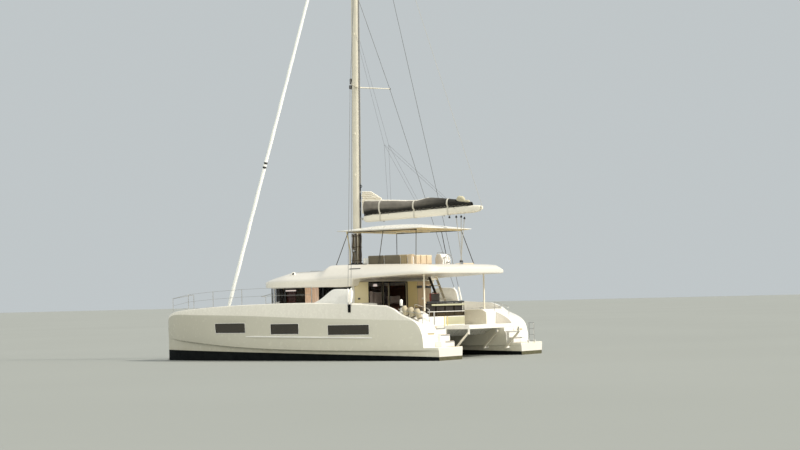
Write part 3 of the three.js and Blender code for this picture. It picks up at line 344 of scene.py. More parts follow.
for make in (topside, nonskid, canvas, stair_paint):
    make()
for make, rows in (
    (gelcoat, (("gelcoat", (0.87, 0.845, 0.775)),
               ("topside_high", (0.93, 0.885, 0.77), (0.2, 0.32)),
               ("roof_gelcoat", (0.72, 0.685, 0.61), (0.3, 0.45)),
               ("roof_edge", (0.90, 0.85, 0.74), (0.25, 0.4)),
               ("boom_paint", (0.87, 0.82, 0.69), (0.3, 0.42)),
               ("stern_paint", (0.74, 0.70, 0.63), (0.3, 0.42)))),
    (matt, (("bottom_paint", (0.003, 0.004, 0.0045), (0.009, 0.011, 0.011)),
            ("frame_black", (0.004, 0.004, 0.004), (0.008, 0.008, 0.008)),
            ("boot_aft", (0.085, 0.08, 0.045), (0.13, 0.12, 0.075)),
            ("brown_dark", (0.03, 0.022, 0.012), (0.06, 0.045, 0.025)),
            ("blind_dark", (0.010, 0.007, 0.005), (0.022, 0.016, 0.011)),
            ("blind_olive", (0.07, 0.065, 0.025), (0.13, 0.12, 0.06)))),
    (panel, (("tan", (0.45, 0.38, 0.24)),
             ("olive", (0.60, 0.52, 0.31)),
             ("pinkish", (0.66, 0.49, 0.29)),
             ("rubber", (0.018, 0.018, 0.018), 0.6),
             ("black_plastic", (0.025, 0.025, 0.026), 0.35),
             ("grey_plastic", (0.32, 0.32, 0.31), 0.45),
             ("lamp_white", (0.86, 0.84, 0.78), 0.35),
             ("engine_grey", (0.25, 0.27, 0.29), 0.4),
             ("antifoul", (0.035, 0.038, 0.04), 0.7),
             ("spar_paint", (0.80, 0.74, 0.60), 0.32),
             ("strip_tan", (0.60, 0.47, 0.19), 0.45),
             ("cream_green", (0.44, 0.43, 0.29), 0.45),
             ("underside", (0.97, 0.85, 0.56), 0.55))),
    (glass, (("dark_glass", (0.010, 0.008, 0.006), 0.85, 0.2),
             ("aft_glass", (0.004, 0.0035, 0.003), 0.84, 0.12),
             ("hull_glass", (0.022, 0.017, 0.010)),
             ("screen", (0.01, 0.014, 0.018)))),
    (metal, (("stainless", (0.62, 0.61, 0.58), 0.18),
             ("bronze", (0.47, 0.31, 0.12), 0.3),
             ("pole", (0.10, 0.09, 0.07), 0.35),
             ("wire", (0.20, 0.20, 0.19), 0.4))),
    (woven, (("sailcloth", (0.74, 0.68, 0.56), (0.86, 0.80, 0.68), 500, 1.0),
             ("sail_soft", (0.36, 0.33, 0.22), (0.47, 0.43, 0.30), 500, 1.0),
             ("uv_cloth", (0.86, 0.86, 0.80), (0.95, 0.95, 0.90), 500, 0.6),
             ("taupe", (0.15, 0.125, 0.09), (0.24, 0.20, 0.15)),
             ("beige", (0.50, 0.39, 0.25), (0.62, 0.50, 0.34)),
             ("drab", (0.24, 0.18, 0.09), (0.34, 0.27, 0.15)),
             ("umber", (0.095, 0.08, 0.05), (0.15, 0.125, 0.08)),
             ("mauve", (0.62, 0.49, 0.44), (0.80, 0.66, 0.60)),
             ("red_piping", (0.30, 0.03, 0.02), (0.42, 0.05, 0.03), 500),
             ("net", (0.025, 0.025, 0.024), (0.06, 0.06, 0.055), 900),
             ("strap", (0.42, 0.39, 0.32), (0.54, 0.51, 0.43), 900),
             ("fender_cloth", (0.29, 0.25, 0.16), (0.42, 0.36, 0.24), 500))),
    (rope, (("rope_white", (0.55, 0.52, 0.44), (0.42, 0.39, 0.31)),
            ("rope_dark", (0.06, 0.06, 0.07), (0.12, 0.11, 0.1)),
            ("rope_blue", (0.07, 0.10, 0.16), (0.2, 0.2, 0.2)),
            ("rope_brown", (0.05, 0.032, 0.02), (0.12, 0.085, 0.05)),
            ("rope_tan", (0.34, 0.27, 0.17), (0.2, 0.15, 0.09)))),
    (wood, (("walnut", (0.10, 0.035, 0.016), (0.22, 0.085, 0.035)),
            ("teak", (0.33, 0.22, 0.11), (0.50, 0.36, 0.20)),
            ("cabinet_red", (0.05, 0.008, 0.004), (0.11, 0.022, 0.012)))),
):
    for row in rows:
        make(*row)
woven("dark_cushion", (0.02, 0.018, 0.016), (0.045, 0.04, 0.035), sheen=0.0, Specular_IOR_Level=0.08)
# The curtain's cloth glows a little though it is no lamp: painted light
woven("peach_cloth", (0.88, 0.60, 0.33), (0.97, 0.80, 0.70), 500, 0.5,
      Emission_Color=(0.9, 0.58, 0.36), Emission_Strength=0.28)
panel("lamp_bright", (0.95, 0.93, 0.88), 0.3, Emission_Color=(1.0, 0.84, 0.76), Emission_Strength=0.7)

# Forms


def around(count):
    """Cosine and sine of equal steps round a circle."""
    return [(cos(2 * pi * k / count), sin(2 * pi * k / count)) for k in range(count)]


def between(count):
    """The faces of a prism, whose two ends have count points each."""
    faces = [list(range(count)), list(range(2 * count - 1, count - 1, -1))]
    return faces + [(i, i + count, (i + 1) % count + count, (i + 1) % count) for i in range(count)]


def bevelled(mesh, width, segments, angle):
    """Rounds the edges that are sharper than an angle in degrees."""
    edges = [e for e in mesh.edges if e.is_manifold and e.calc_face_angle(0) > radians(angle)]
    bmesh.ops.bevel(mesh, geom=edges, offset=width, segments=segments, profile=0.5, affect="EDGES", clamp_overlap=True)


def rounded(points, faces, radius, segments=2, angle=25):
    """The form with its sharp edges rounded."""
    mesh = bmesh.new()
    made = [mesh.verts.new(p) for p in points]
    for face in faces:
        mesh.faces.new([made[i] for i in face])
    bmesh.ops.recalc_face_normals(mesh, faces=mesh.faces)
    bevelled(mesh, radius, segments, angle)
    mesh.verts.index_update()
    out = [tuple(v.co) for v in mesh.verts], [[v.index for v in f.verts] for f in mesh.faces]
    mesh.free()
    return out


def fillet(points, radii, steps=4):
    """A line through points whose corners are rounded where their radius isn't 0."""
    out = []
    for i, p in enumerate(points):
        r = radii[i]
        if not r or i in (0, len(points) - 1):
            out.append(tuple(p))
            continue
        here, before, after = Vector(p), Vector(points[i - 1]), Vector(points[i + 1])
        back, on = before - here, after - here
        cut = min(r, 0.45 * back.length, 0.45 * on.length)
        a, b = here + back.normalized() * cut, here + on.normalized() * cut
        for k in range(steps + 1):
            t = k / steps
            out.append(tuple(a * (1 - t) ** 2 + here * 2 * t * (1 - t) + b * t ** 2))
    return out


def rounded_outline(points, radius, steps=5):
    """A closed outline with every corner rounded."""
    count = len(points)
    line = [points[-1], *points, points[0]]
    return fillet(line, [0, *[radius] * count, 0], steps)[1:-1]


def plate(x0, x1, y0, y1, radius):
    """A rectangle's outline with rounded corners."""
    return rounded_outline([(x0, y0), (x1, y0), (x1, y1), (x0, y1)], radius)


def spline(points, steps):
    """A smooth line through points."""
    out = []
    last = len(points) - 1
    for i in range(last):
        p = [Vector(points[max(0, min(last, i + k))]) for k in (-1, 0, 1, 2)]
        for s in range(steps):
            t = s / steps
            m0 = (p[2] - p[0]) / (2 if i else 1)
            m1 = (p[3] - p[1]) / (2 if i < last - 1 else 1)
            between_points = p[1] * (1 + t * t * (2 * t - 3)) + p[2] * t * t * (3 - 2 * t)
            out.append(tuple(between_points + m0 * t * (1 - t) ** 2 - m1 * t * t * (1 - t)))
    out.append(tuple(points[-1]))
    return out


def row_at(rows, x):
    """A table's row at any place along the boat, on a smooth curve through its rows."""
    i = max(next((k for k, row in enumerate(rows) if row[0] <= x), len(rows) - 1), 1)
    a, b, before, after = rows[i - 1], rows[i], rows[max(i - 2, 0)], rows[min(i + 1, len(rows) - 1)]
    run = b[0] - a[0]
    t = (x - a[0]) / run
    out = [x]
    for p, q, r, s in list(zip(a, b, before, after))[1:]:
        start, end = run * (q - r) / (b[0] - before[0]), run * (s - p) / (after[0] - a[0])
        out.append(p * (1 + t * t * (2 * t - 3)) + q * t * t * (3 - 2 * t) + t * (1 - t) * ((1 - t) * start - t * end))
    return out


class Shape:
    """Faces of one piece, each with its finish."""

    def __init__(self):
        self.points, self.faces, self.looks = [], [], []

    def put(self, points, faces, look):
        base = len(self.points)
        self.points += [tuple(p) for p in points]
        self.faces += [[base + i for i in face] for face in faces]
        self.looks += [look] * len(faces) if isinstance(look, str) else list(look)
        return self

    def box(self, lo, hi, look, radius=0.006, segments=2):
        corners = [(x, y, z) for x in (lo[0], hi[0]) for y in (lo[1], hi[1]) for z in (lo[2], hi[2])]
        faces = [(0, 1, 3, 2), (4, 6, 7, 5), (0, 4, 5, 1), (2, 3, 7, 6), (0, 2, 6, 4), (1, 5, 7, 3)]
        return self.put(*(rounded(corners, faces, radius, segments) if radius else (corners, faces)), look)

    def prism(self, outline, span, along, look, radius=0.0, angle=25):
        """An outline pushed along an axis; the outline's pair are the two other axes in order."""
        axis = "XYZ".index(along)
        others = [k for k in range(3) if k != axis]
        points = []
        for level in span:
            for a, b in outline:
                p = [0.0, 0.0, 0.0]
                p[axis], p[others[0]], p[others[1]] = level, a, b
                points.append(tuple(p))
        faces = between(len(outline))
        if radius:
            points, faces = rounded(points, faces, radius, 2, angle)
        return self.put(points, faces, look)

    def loft(self, rings, look, closed=True, caps=True, stripes=None, loop=False):
        """A skin over rings; stripes gives a finish for a column of faces, by its number."""
        count = len(rings[0])
        faces, looks = [], []
        for r in range(len(rings) if loop else len(rings) - 1):
            here, there = r * count, (r + 1) % len(rings) * count
            for i in range(count if closed else count - 1):
                j = (i + 1) % count
                faces.append((here + i, here + j, there + j, there + i))
                looks.append((stripes or {}).get(i, look))
        if caps and closed and not loop:
            faces += [list(range(count))[::-1], [(len(rings) - 1) * count + i for i in range(count)]]
            looks += [look, look]
        return self.put([p for ring in rings for p in ring], faces, looks)

    def tube(self, points, radius, look, sides=8, cyclic=False):
        """A round bar along points; radius may be one number or one for each point."""
        line = [Vector(p) for p in points]
        radii = radius if hasattr(radius, "__len__") else [radius] * len(line)
        last = len(line) - 1
        rings, side = [], None
        for i, p in enumerate(line):
            before = line[i - 1] if i or cyclic else p
            after = line[(i + 1) % len(line)] if i < last or cyclic else p
            along = (after - before).normalized()
            if side is None:
                side = along.orthogonal().normalized()
            side = (side - along * side.dot(along)).normalized()
            other = along.cross(side)
            rings.append([tuple(p + (side * c + other * s) * radii[i]) for c, s in around(sides)])
        return self.loft(rings, look, loop=cyclic)

    def turned(self, start, end, profile, look, sides=20):
        """A turned form: profile gives shares of the way from start to end and radii."""
        a, b = Vector(start), Vector(end)
        along = (b - a).normalized()
        side = along.orthogonal().normalized()
        other = along.cross(side)
        circle = around(sides)
        rings = [[tuple(a.lerp(b, share) + (side * c + other * s) * r) for c, s in circle] for share, r in profile]
        return self.loft(rings, look)

    def mirrored(self):
        return Shape().put([(x, -y, z) for x, y, z in self.points], [face[::-1] for face in self.faces], self.looks)

    def object(self, name):
        mesh = bpy.data.meshes.new(name)
        mesh.from_pydata(self.points, [], self.faces)
        looks = sorted(set(self.looks))
        for look in looks:
            mesh.materials.append(FINISHES[look])
        mesh.polygons.foreach_set("material_index", [looks.index(look) for look in self.looks])
        form = bmesh.new()
        form.from_mesh(mesh)
        bmesh.ops.recalc_face_normals(form, faces=form.faces)
        form.to_mesh(mesh)
        form.free()
        return linked(name, mesh)


def settle(made):
    """The piece with its modifiers applied."""
    graph = bpy.context.evaluated_depsgraph_get()
    graph.update()
    mesh = bpy.data.meshes.new_from_object(made.evaluated_get(graph))
    made.modifiers.clear()
    made.data = mesh
    return made


def tree_of(made):
    """For the search of the nearest point on a mesh."""
    return BVHTree.FromPolygons([v.co for v in made.data.vertices], [tuple(p.vertices) for p in made.data.polygons])


def thicken(made, thickness, offset=-1):
    """Gives a skin its thickness, inwards unless offset says otherwise."""
    step = made.modifiers.new("thick", "SOLIDIFY")
    step.thickness = thickness
    step.offset = offset
    settle(made)


def carve(made, *tools):
    """Takes shapes out of a piece; a cut's faces keep the cutter's finish."""
    for tool in tools:
        cutter = tool.object("cutter")
        step = made.modifiers.new("cut", "BOOLEAN")
        step.operation = "DIFFERENCE"
        step.solver = "EXACT"
        step.material_mode = "TRANSFER"
        step.object = cutter
        settle(made)
        bpy.data.objects.remove(cutter)


def soften(made, width, segments=2, angle=35):
    step = made.modifiers.new("edges", "BEVEL")
    step.width = width
    step.segments = segments
    step.limit_method = "ANGLE"
    step.angle_limit = radians(angle)
    step.use_clamp_overlap = False
    return settle(made)


def place(made, body, slot, *nodes, angle=32):
    made.data.shade_smooth()
    made.data.set_sharp_from_angle(angle=radians(angle))
    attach(made, body)
    if nodes:
        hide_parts(*nodes)
    return made


def piece(name, shape, body, slot, *nodes, angle=32):
    return place(shape.object(name), body, slot, *nodes, angle=angle)


def both(name, shape, body, slot, node=None):
    """A piece to port and the same to starboard."""
    for side, form in (("port", shape), ("starboard", shape.mirrored())):
        piece(f"{name}_{side}", form, body, slot, *([f"{node}_{side}"] if node else []))


def from_node(node, look, bevel=0.0, segments=2):
    """A copy of a solid with tidy faces and rounded edges, which stands for it."""
    source = frame["nodes"][node]
    mesh = bmesh.new()
    mesh.from_mesh(source.data)
    bmesh.ops.remove_doubles(mesh, verts=mesh.verts, dist=1e-5)
    bmesh.ops.dissolve_limit(mesh, angle_limit=radians(0.4), verts=mesh.verts, edges=mesh.edges)
    if bevel:
        bevelled(mesh, bevel, segments, 30)
    data = bpy.data.meshes.new(f"{node}_dressed")
    mesh.to_mesh(data)
    mesh.free()
    data.materials.append(FINISHES[look])
    slot = next(p["material_slot"] for p in frame["record"]["subparts"] if p["node"] == node)
    return place(linked(data.name, data), source["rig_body"], slot, node)


def dress(node, look):
    """A solid whose own shape is right gets its finish."""
    made = frame["nodes"][node]
    made.data.materials.clear()
    made.data.materials.append(FINISHES[look])


# Hulls

HULL_SECTIONS = [
    (7.0, -0.1, 0.018, 0.95, 0.024, 0.032, 0.044, 1.5, 0.042, 1.63),
    (6.86, -0.38, 0.055, 0.9, 0.08, 0.1, 0.17, 1.7, 0.165, 1.85),
    (6.3, -0.52, 0.16, 0.81, 0.225, 0.29, 0.41, 1.84, 0.4, 2.02),
    (5.0, -0.6, 0.34, 0.68, 0.42, 0.53, 0.69, 1.82, 0.675, 2.12),
    (3.5, -0.64, 0.5, 0.56, 0.57, 0.73, 0.865, 1.79, 0.845, 2.2),
    (1.8, -0.66, 0.6, 0.46, 0.66, 0.86, 0.955, 1.74, 0.93, 2.25),
    (-0.5, -0.66, 0.66, 0.38, 0.71, 0.925, 0.985, 1.64, 0.96, 2.27),
    (-3.0, -0.6, 0.68, 0.345, 0.73, 0.93, 0.985, 1.56, 0.962, 2.2),
    (-4.7, -0.52, 0.71, 0.34, 0.765, 0.92, 0.965, 1.51, 0.952, 2.1),
    (-6.0, -0.4, 0.77, 0.345, 0.815, 0.895, 0.935, 1.46, 0.925, 2.04),
    (-7.0, -0.23, 0.81, 0.35, 0.845, 0.87, 0.89, 1.43, 0.885, 2.0),
]
INNER_SIDE = 0.93
SIDE_DECK_Z = 1.85
STEP_Z = 0.49
SOLE_Z = 1.25
# The columns of a hull's skin from the boot top's edge down
BOTTOM_COLUMNS = range(2, 24)


def band(lower, boot):
    """The side from the waterline up to the chine, with a point on the boot top's edge."""
    levels = [lower[0][1], boot * 0.5, boot, (boot + lower[-1][1]) / 2, lower[-1][1]]
    out = []
    for z in levels:
        k = next((i for i in range(1, len(lower)) if lower[i][1] >= z), len(lower) - 1)
        (y0, z0), (y1, z1) = lower[k - 1], lower[k]
        out.append((y0 + (y1 - y0) * (z - z0) / (z1 - z0), z))
    return out


def hull_ring(row):
    x, keel, water, chine_z, under, over, crease, crease_z, sheer, sheer_z = row
    k = INNER_SIDE
    low = [(water * 0.62, keel * 0.8), (water * 0.89, keel * 0.42), (water, 0), (under, chine_z)]
    bottom = [tuple(p) for p in spline([*[(-a * k, b) for a, b in low[::-1]], (0, keel), *low], 3)]
    boot = BOOT["mid"] + BOOT["rise"] * x
    bottom = band(bottom[3::-1], boot)[::-1] + bottom[4:21] + band(bottom[21:], boot)
    margin = min(0.11, sheer * 0.5)
    side = fillet([(under, chine_z), (over, chine_z + 0.05), ((over + crease) / 2 + 0.012, (chine_z + crease_z) / 2),
                   (crease, crease_z), (sheer, sheer_z), (sheer - margin, sheer_z)], [0, 0.012, 0.3, 0.05, 0.05, 0], 3)
    inner = fillet([(-sheer * k + margin, sheer_z), (-sheer * k, sheer_z), (-over * k, chine_z + 0.05),
                    (-under * k, chine_z)], [0, 0.05, 0.012, 0], 3)
    ring = bottom + side[1:] + inner[:-1]
    return [(x, HULL_Y + half, z) for half, z in ring], len(bottom) + len(side) - 2


def house_plan(grow):
    """The house's outline from above, grown on all sides."""
    port = [(-3.07 - grow, 1.72 + grow), (-2.3 - grow, 2.6 + grow), (1.45 + grow, 2.6 + grow),
            (2.05 + grow, 2.3 + grow), (2.45 + grow, 1.6 + grow), (2.65 + grow, 0.8 + grow), (2.72 + grow, 0)]
    return [*port, *[(x, -y) for x, y in port[-2::-1]]]


STERN_CURVE = [(-4.62, 2.115), (-5.05, 1.96), (-5.39, 1.75), (-5.88, 1.54), (-6.13, 1.35), (-6.25, 1.15),
               (-6.33, 0.85), (-6.35, STEP_Z)]
STAIR = [(-7.2, STEP_Z), (-6.65, STEP_Z), (-6.65, 0.7), (-6.45, 0.7), (-6.45, 0.95), (-6.25, 0.95), (-6.25, 1.2),
         (-5.45, 1.2), (-5.45, SIDE_DECK_Z), (-5.44, 3.0), (-7.2, 3.0)]
HULL_WINDOWS = [((2.17, 3.83), (1.115, 1.515)), ((-0.56, 0.85), (1.05, 1.465)), ((-3.93, -1.98), (1.0, 1.39))]
SIDE_FAIRING = [(-1.25, 2.15), (-1.31, 2.275), (-1.62, 2.43), (-2.02, 2.73), (-2.3, 2.775), (-2.86, 2.75),
                (-3.0, 2.67), (-3.04, 2.5), (-3.04, 2.15)]


def hull_half(x, z):
    """Half width of the topside at a place and height."""
    row = row_at(HULL_SECTIONS, x)
    over, chine, crease, crease_z = row[5], row[3] + 0.05, row[6], row[7]
    share = (z - chine) / (crease_z - chine)
    return over + (crease - over) * share + 0.024 * (1 - abs(2 * share - 1))


def hull():
    places = [7.0, 6.985, 6.96, 6.93, 6.89, 6.84, 6.76, 6.66, 6.52, 6.3]
    places += [6.3 - 0.3 * k for k in range(1, 44)] + [-6.8, -7.0]
    rings = [hull_ring(row_at(HULL_SECTIONS, x)) for x in places]
    deck = rings[0][1]
    # The band under the sheer gets a lighter copy of the topside colour: painted light from the sky
    stripes = {deck: "nonskid", **{deck - k: "topside_high" for k in range(1, 6)},
               **{k: "bottom_paint" for k in BOTTOM_COLUMNS}}
    form = Shape().loft([ring for ring, _ in rings], "topside", stripes=stripes)
    made = form.object("hull")
    curve = spline([(-4.3, 2.2), *STERN_CURVE[:-1]], 4)[4:] + [STERN_CURVE[-1]]
    outside = [(-7.2, STEP_Z), (-7.2, 3.0), (-4.62, 3.0)]
    windows = Shape()
    for (x0, x1), (z0, z1) in HULL_WINDOWS:
        corners = plate(x0, x1, z0, z1, 0.045)
        windows.loft([[(x, HULL_Y + hull_half(x, z) + out, z) for x, z in corners] for out in (-0.06, 0.1)], "rubber")
    carve(made, windows,
          Shape().box((-5.45, 1.8, SIDE_DECK_Z), (-3.04, 3.8, 3.0), "gelcoat", 0),
          Shape().prism(curve + outside, (1.8, 4.2), "Y", "gelcoat"),
          Shape().prism(STAIR, (1.9, 2.86), "Y", "gelcoat"),
          Shape().prism(house_plan(GAP), (SOLE_Z, 2.6), "Z", "gelcoat"))
    well = Shape().box((-4.9, 2.74, -0.15), (-4.1, 3.3, 1.9), "gelcoat", 0)
    ledge = Shape().box((-4.945, 2.695, SIDE_DECK_Z - 0.035), (-4.055, 3.345, 1.9), "gelcoat", 0)
    bore = Shape().turned((-5.75, HULL_Y, -0.9), (-5.75, HULL_Y, -0.2997), [(0, 0.0455), (1, 0.0455)], "antifoul", 24)
    foot = Shape().box((-4.6503, HULL_Y - 0.0753, -0.9), (-4.3497, HULL_Y + 0.0753, -0.43), "antifoul", 0)
    carve(made, well, ledge, bore, foot)
    return soften(made, 0.012, 2, 40)


def hull_extras():
    """Window panes and frames, the ledge under them, the leaning fairing and the stern steps."""
    form = Shape()
    for (x0, x1), (z0, z1) in HULL_WINDOWS:
        pane = plate(x0 + 0.012, x1 - 0.012, z0 + 0.012, z1 - 0.012, 0.04)
        form.loft([[(x, HULL_Y + hull_half(x, z) + out, z) for x, z in pane] for out in (-0.064, -0.022)],
                  "hull_glass")
        form.tube([(x, HULL_Y + hull_half(x, z), z) for x, z in plate(x0, x1, z0, z1, 0.045)], 0.009, "lamp_white", 8,
                  cyclic=True)
    edge = []
    for k in range(25):
        x = 2.18 - k * 6.23 / 24
        z = 0.86 + 0.1 * (x + 4.05) / 6.23
        half = HULL_Y + hull_half(x, z)
        out = half + 0.034 * min(1, k / 2, (24 - k) / 2)
        edge.append([(x, half - 0.05, z - 0.02), (x, out, z), (x, out, z + 0.024), (x, half - 0.05, z + 0.075)])
    form.loft(edge, "lamp_white")
    thick, lean = 0.125, 0.34
    foot = HULL_Y + 0.945 - thick + lean * 2.2
    top = spline(SIDE_FAIRING[1:8], 3)
    outline = [SIDE_FAIRING[0], *top, SIDE_FAIRING[-1]]
    points = [(x, foot + y - lean * z, z) for y in (0, thick) for x, z in outline]
    form.put(*rounded(points, between(len(outline)), 0.03, 4, 40), "gelcoat")
    for x in (-5.4, -6.43):
        form.turned((x, 1.9553, 0.31), (x, HULL_Y - 0.5, 0.31), [(0, 0.046), (0.02, 0.05), (1, 0.05)], "gelcoat")
    for x0, x1, z in ((-6.24, -5.47, 1.2), (-6.44, -6.27, 0.95), (-6.64, -6.47, 0.7), (-6.97, -6.67, STEP_Z)):
        form.box((x0, 2.215, z - 0.004), (x1, 2.83, z + 0.006), "teak", 0.003)
        if STEP_Z < z < 0.8:
            form.box((x0 - 0.012, 2.197, STEP_Z - 0.003), (-6.34, 3.1, z - 0.002), "gelcoat", 0.008)
        elif z < 1:
            form.box((x0 - 0.012, 2.2, STEP_Z - 0.002), (-6.25, 2.862, z - 0.002), "gelcoat", 0.008)
        form.box((x0 - 0.022, 2.205, z - 0.05), (x0 + 0.004, 2.85, z - 0.006), "grey_plastic", 0.006)
    form.box((-6.305, 3.05, 0.958), (-6.28, 3.5, 1.035), "tan", 0.008)
    ring = [(y, z) for _, y, z in hull_ring(HULL_SECTIONS[-1])[0]]
    first, last = BOTTOM_COLUMNS[0], BOTTOM_COLUMNS[-1] + 1
    # On the transom the black boot top gets a lighter olive copy: painted light
    form.prism(ring[first:last + 1], (-7.004, -6.99), "X", "boot_aft")
    above = [p for p in ring[last:] + ring[:first + 1] if p[1] < STEP_Z - 0.03]
    form.prism(above, (-7.004, -6.99), "X", "stern_paint")
    return form


def joined(name, *pieces):
    """Several pieces as one mesh."""
    form = bmesh.new()
    looks = []
    for made in pieces:
        base = len(looks)
        looks += list(made.data.materials)
        before = len(form.faces)
        form.from_mesh(made.data)
        form.faces.ensure_lookup_table()
        for face in form.faces[before:]:
            face.material_index += base
        bpy.data.objects.remove(made)
    data = bpy.data.meshes.new(name)
    unique = list(dict.fromkeys(looks))
    for face in form.faces:
        face.material_index = unique.index(looks[face.material_index])
    form.to_mesh(data)
    form.free()
    for look in unique:
        data.materials.append(look)
    return linked(name, data)


def mirror(made, name):
    twin = linked(name, made.data.copy())
    twin.data.transform(Matrix.Scale(-1, 4, (0, 1, 0)))
    twin.data.flip_normals()
    return twin


def make_hulls():
    port = joined("hull_port_shell", hull(), hull_extras().object("extras"))
    starboard = mirror(port, "hull_starboard_plain")
    lugs = Shape()
    for y0, y1 in ((-3.225, -3.2003), (-2.7397, -2.715)):
        lugs.box((-7.065, y0, 0.455), (-6.96, y1, 0.57), "gelcoat", 0.006)
    starboard = joined("hull_starboard_shell", starboard, lugs.object("lugs"))
    place(port, "hulls", "gelcoat", "hull_port", angle=28)
    place(starboard, "hulls", "gelcoat", "hull_starboard", angle=28)


make_hulls()

# Roof over the house, with the well of the flybridge

ROOF_SECTIONS = [
    (3.33, 0.83, 3.01, 3.10, 0.74, 3.135), (3.05, 1.4, 2.95, 3.125, 1.12, 3.18), (2.25, 2.3, 2.895, 3.14, 1.72, 3.3),
    (1.75, 2.58, 2.89, 3.145, 1.88, 3.39), (1.3, 2.73, 2.885, 3.15, 2.0, 3.475), (0.98, 2.79, 2.88, 3.15, 2.04, 3.52),
    (-0.37, 2.87, 2.872, 3.153, 2.12, 3.53), (-0.59, 2.875, 2.871, 3.154, 2.17, 3.575), (-0.75, 2.88, 2.87, 3.155,
                                                                                         2.22, 3.645),
    (-0.95, 2.89, 2.87, 3.16, 2.28, 3.73),
    (-2.4, 2.92, 2.885, 3.19, 2.31, 3.73), (-2.46, 2.92, 3.12, 3.195, 2.31, 3.73), (-4.0, 2.92, 3.215, 3.28, 2.35,
                                                                                    3.705),
    (-5.2, 2.86, 3.27, 3.35, 2.4, 3.67), (-5.85, 2.68, 3.275, 3.38, 2.3, 3.61), (-6.1, 2.45, 3.3, 3.4, 2.15, 3.5),
]
FLY_Z = 3.4
WELL = {"x": (-5.6, -1.25), "half": 2.09}
CROWN = 0.02


def roof_ring(row):
    x, half, low, crease, top, top_z = row
    edge = half + 0.015

    def shoulder(out, up):
        return edge + (top - edge) * out, crease + (top_z - crease) * up

    side = fillet([(half - 0.06, low), (half, low), (edge, crease), shoulder(0.1, 0.22), shoulder(0.65, 0.82),
                   (top, top_z), (top * 0.5, top_z + CROWN * 0.75)],
                  [0, 0.03, 0.03, 0.12, 0.2, 0.1, 0], 3)
    port = [*side, (0, top_z + CROWN)]
    return [(x, y, z) for y, z in port] + [(x, -y, z) for y, z in port[-2::-1]]


def coachroof():
    places = [3.33, 3.31, 3.27, 3.2, 3.1, 2.98, 2.8, 2.6, 2.4, 2.2, 1.95, 1.7, 1.4, 1.1, 0.7, 0.3, -0.1, -0.37, -0.45,
              -0.52, -0.59, -0.66, -0.75, -0.84, -0.92, -0.96, -1.1, -1.5, -2.0, -2.38, -2.42, -2.46, -2.8, -3.4, -4.0,
              -4.6, -5.2, -5.55, -5.85, -5.98, -6.06, -6.1]
    rings = [roof_ring(row_at(ROOF_SECTIONS, x)) for x in places]
    # The roof's lower side band, on both sides, gets a lighter copy of the roof's gelcoat: painted light
    edges = {k: "roof_edge" for k in (*range(7), *range(len(rings[0]) - 7, len(rings[0])))}
    made = Shape().loft(rings, "roof_gelcoat", stripes=edges).object("roof")
    (aft, fore), half = WELL["x"], WELL["half"]
    well = plate(aft, fore, -half, half, 0.22)
    hole = plate(-3.78, -3.12, -1.84, -1.26, 0.04)
    carve(made, Shape().prism(house_plan(GAP), (2.6, 3.05), "Z", "lamp_white"),
          Shape().prism(well, (FLY_Z, 4.0), "Z", "gelcoat"),
          Shape().prism(hole, (3.0, 4.0), "Z", "gelcoat"))
    soften(made, 0.012, 2, 40)
    tree = tree_of(made)
    extra = Shape().box((-0.83, -0.21, 3.45), (-0.37, 0.21, 3.6597), "gelcoat", 0.02)
    for x0, x1, y0, y1 in ((1.05, 1.62, 0.28, 0.85), (1.05, 1.62, -0.85, -0.28), (0.1, 0.55, 1.25, 1.7),
                           (0.1, 0.55, -1.7, -1.25)):
        row = row_at(ROOF_SECTIONS, (x0 + x1) / 2)
        z = row[5] + CROWN * (1 - abs(y0 + y1) / 2 / row[4]) - 0.01
        extra.box((x0, y0, z), (x1, y1, z + 0.02), "stainless", 0.006)
        extra.box((x0 + 0.035, y0 + 0.035, z + 0.01), (x1 - 0.035, y1 - 0.035, z + 0.026), "screen", 0.004)
    extra.prism(rounded_outline([(aft + 0.1, -half + 0.1), (-3.9, -half + 0.1), (-3.9, -1.15), (fore - 0.1, -1.15),
                                 (fore - 0.1, half - 0.1), (aft + 0.1, half - 0.1)], 0.08),
                (FLY_Z - 0.002, FLY_Z + 0.004), "Z", "teak")
    for side in (1, -1):
        spot, out = tree.find_nearest(Vector((0.86, side * 2.35, 3.39)))[:2]
        out = (out + Vector((-0.5, side * 1.2, 0))).normalized()
        extra.turned(tuple(spot - out * 0.02), tuple(spot + out * 0.045),
                     [(0, 0.1), (0.5, 0.1), (0.85, 0.085), (1, 0.06)], "roof_edge", 20)
        extra.turned(tuple(spot + out * 0.04), tuple(spot + out * 0.052), [(0, 0.048), (1, 0.042)], "frame_black", 14)
        tray = sorted((side * 2.54, side * 2.625))
        extra.box((-2.63, tray[0], 3.545), (-2.10, tray[1], 3.578), "frame_black", 0.01)
        lip = sorted((side * 2.17, side * 2.27))
        extra.box((-2.65, lip[0], 3.728), (-1.78, lip[1], 3.752), "frame_black", 0.01)
    place(joined("coachroof_moulding", made, extra.object("extra")), "hulls", "gelcoat", "coachroof", angle=30)


coachroof()

# Floor at the waterline

FLOOR_HALF = 900


def make_floor():
    f = Finish("floor", Roughness=0.8)
    f.relief(f.noise(3, 3), 0.02, 0.01)
    f.done(f.ramp(f.noise(0.05, 3), (0.3, (0.29, 0.30, 0.275)), (0.7, (0.305, 0.315, 0.29))))
    rings = [[(r * c, r * s, 0) for c, s in around(64)] for r in (0.001, 40, 120, FLOOR_HALF)]
    floor = Shape().loft(rings, "floor", True, False).object("floor")


make_floor()


# House, its glass and the aft wall

AFT_WALL_X = -3.07


def strip(form, a, b, z, thick, look, radius=0.002):
    """A flat plate on the outside of an upright wall, from one plan point to another."""
    a, b = Vector(a), Vector(b)
    out = Vector((-(b - a).y, (b - a).x)).normalized() * thick
    if out.dot((a + b) / 2) < 0:
        out = -out
    form.prism([tuple(a), tuple(b), tuple(b + out), tuple(a + out)], z, "Z", look, radius)


def corner_at(share, side=1):
    return (-2.3 - 0.77 * share, side * (2.6 - 0.88 * share))


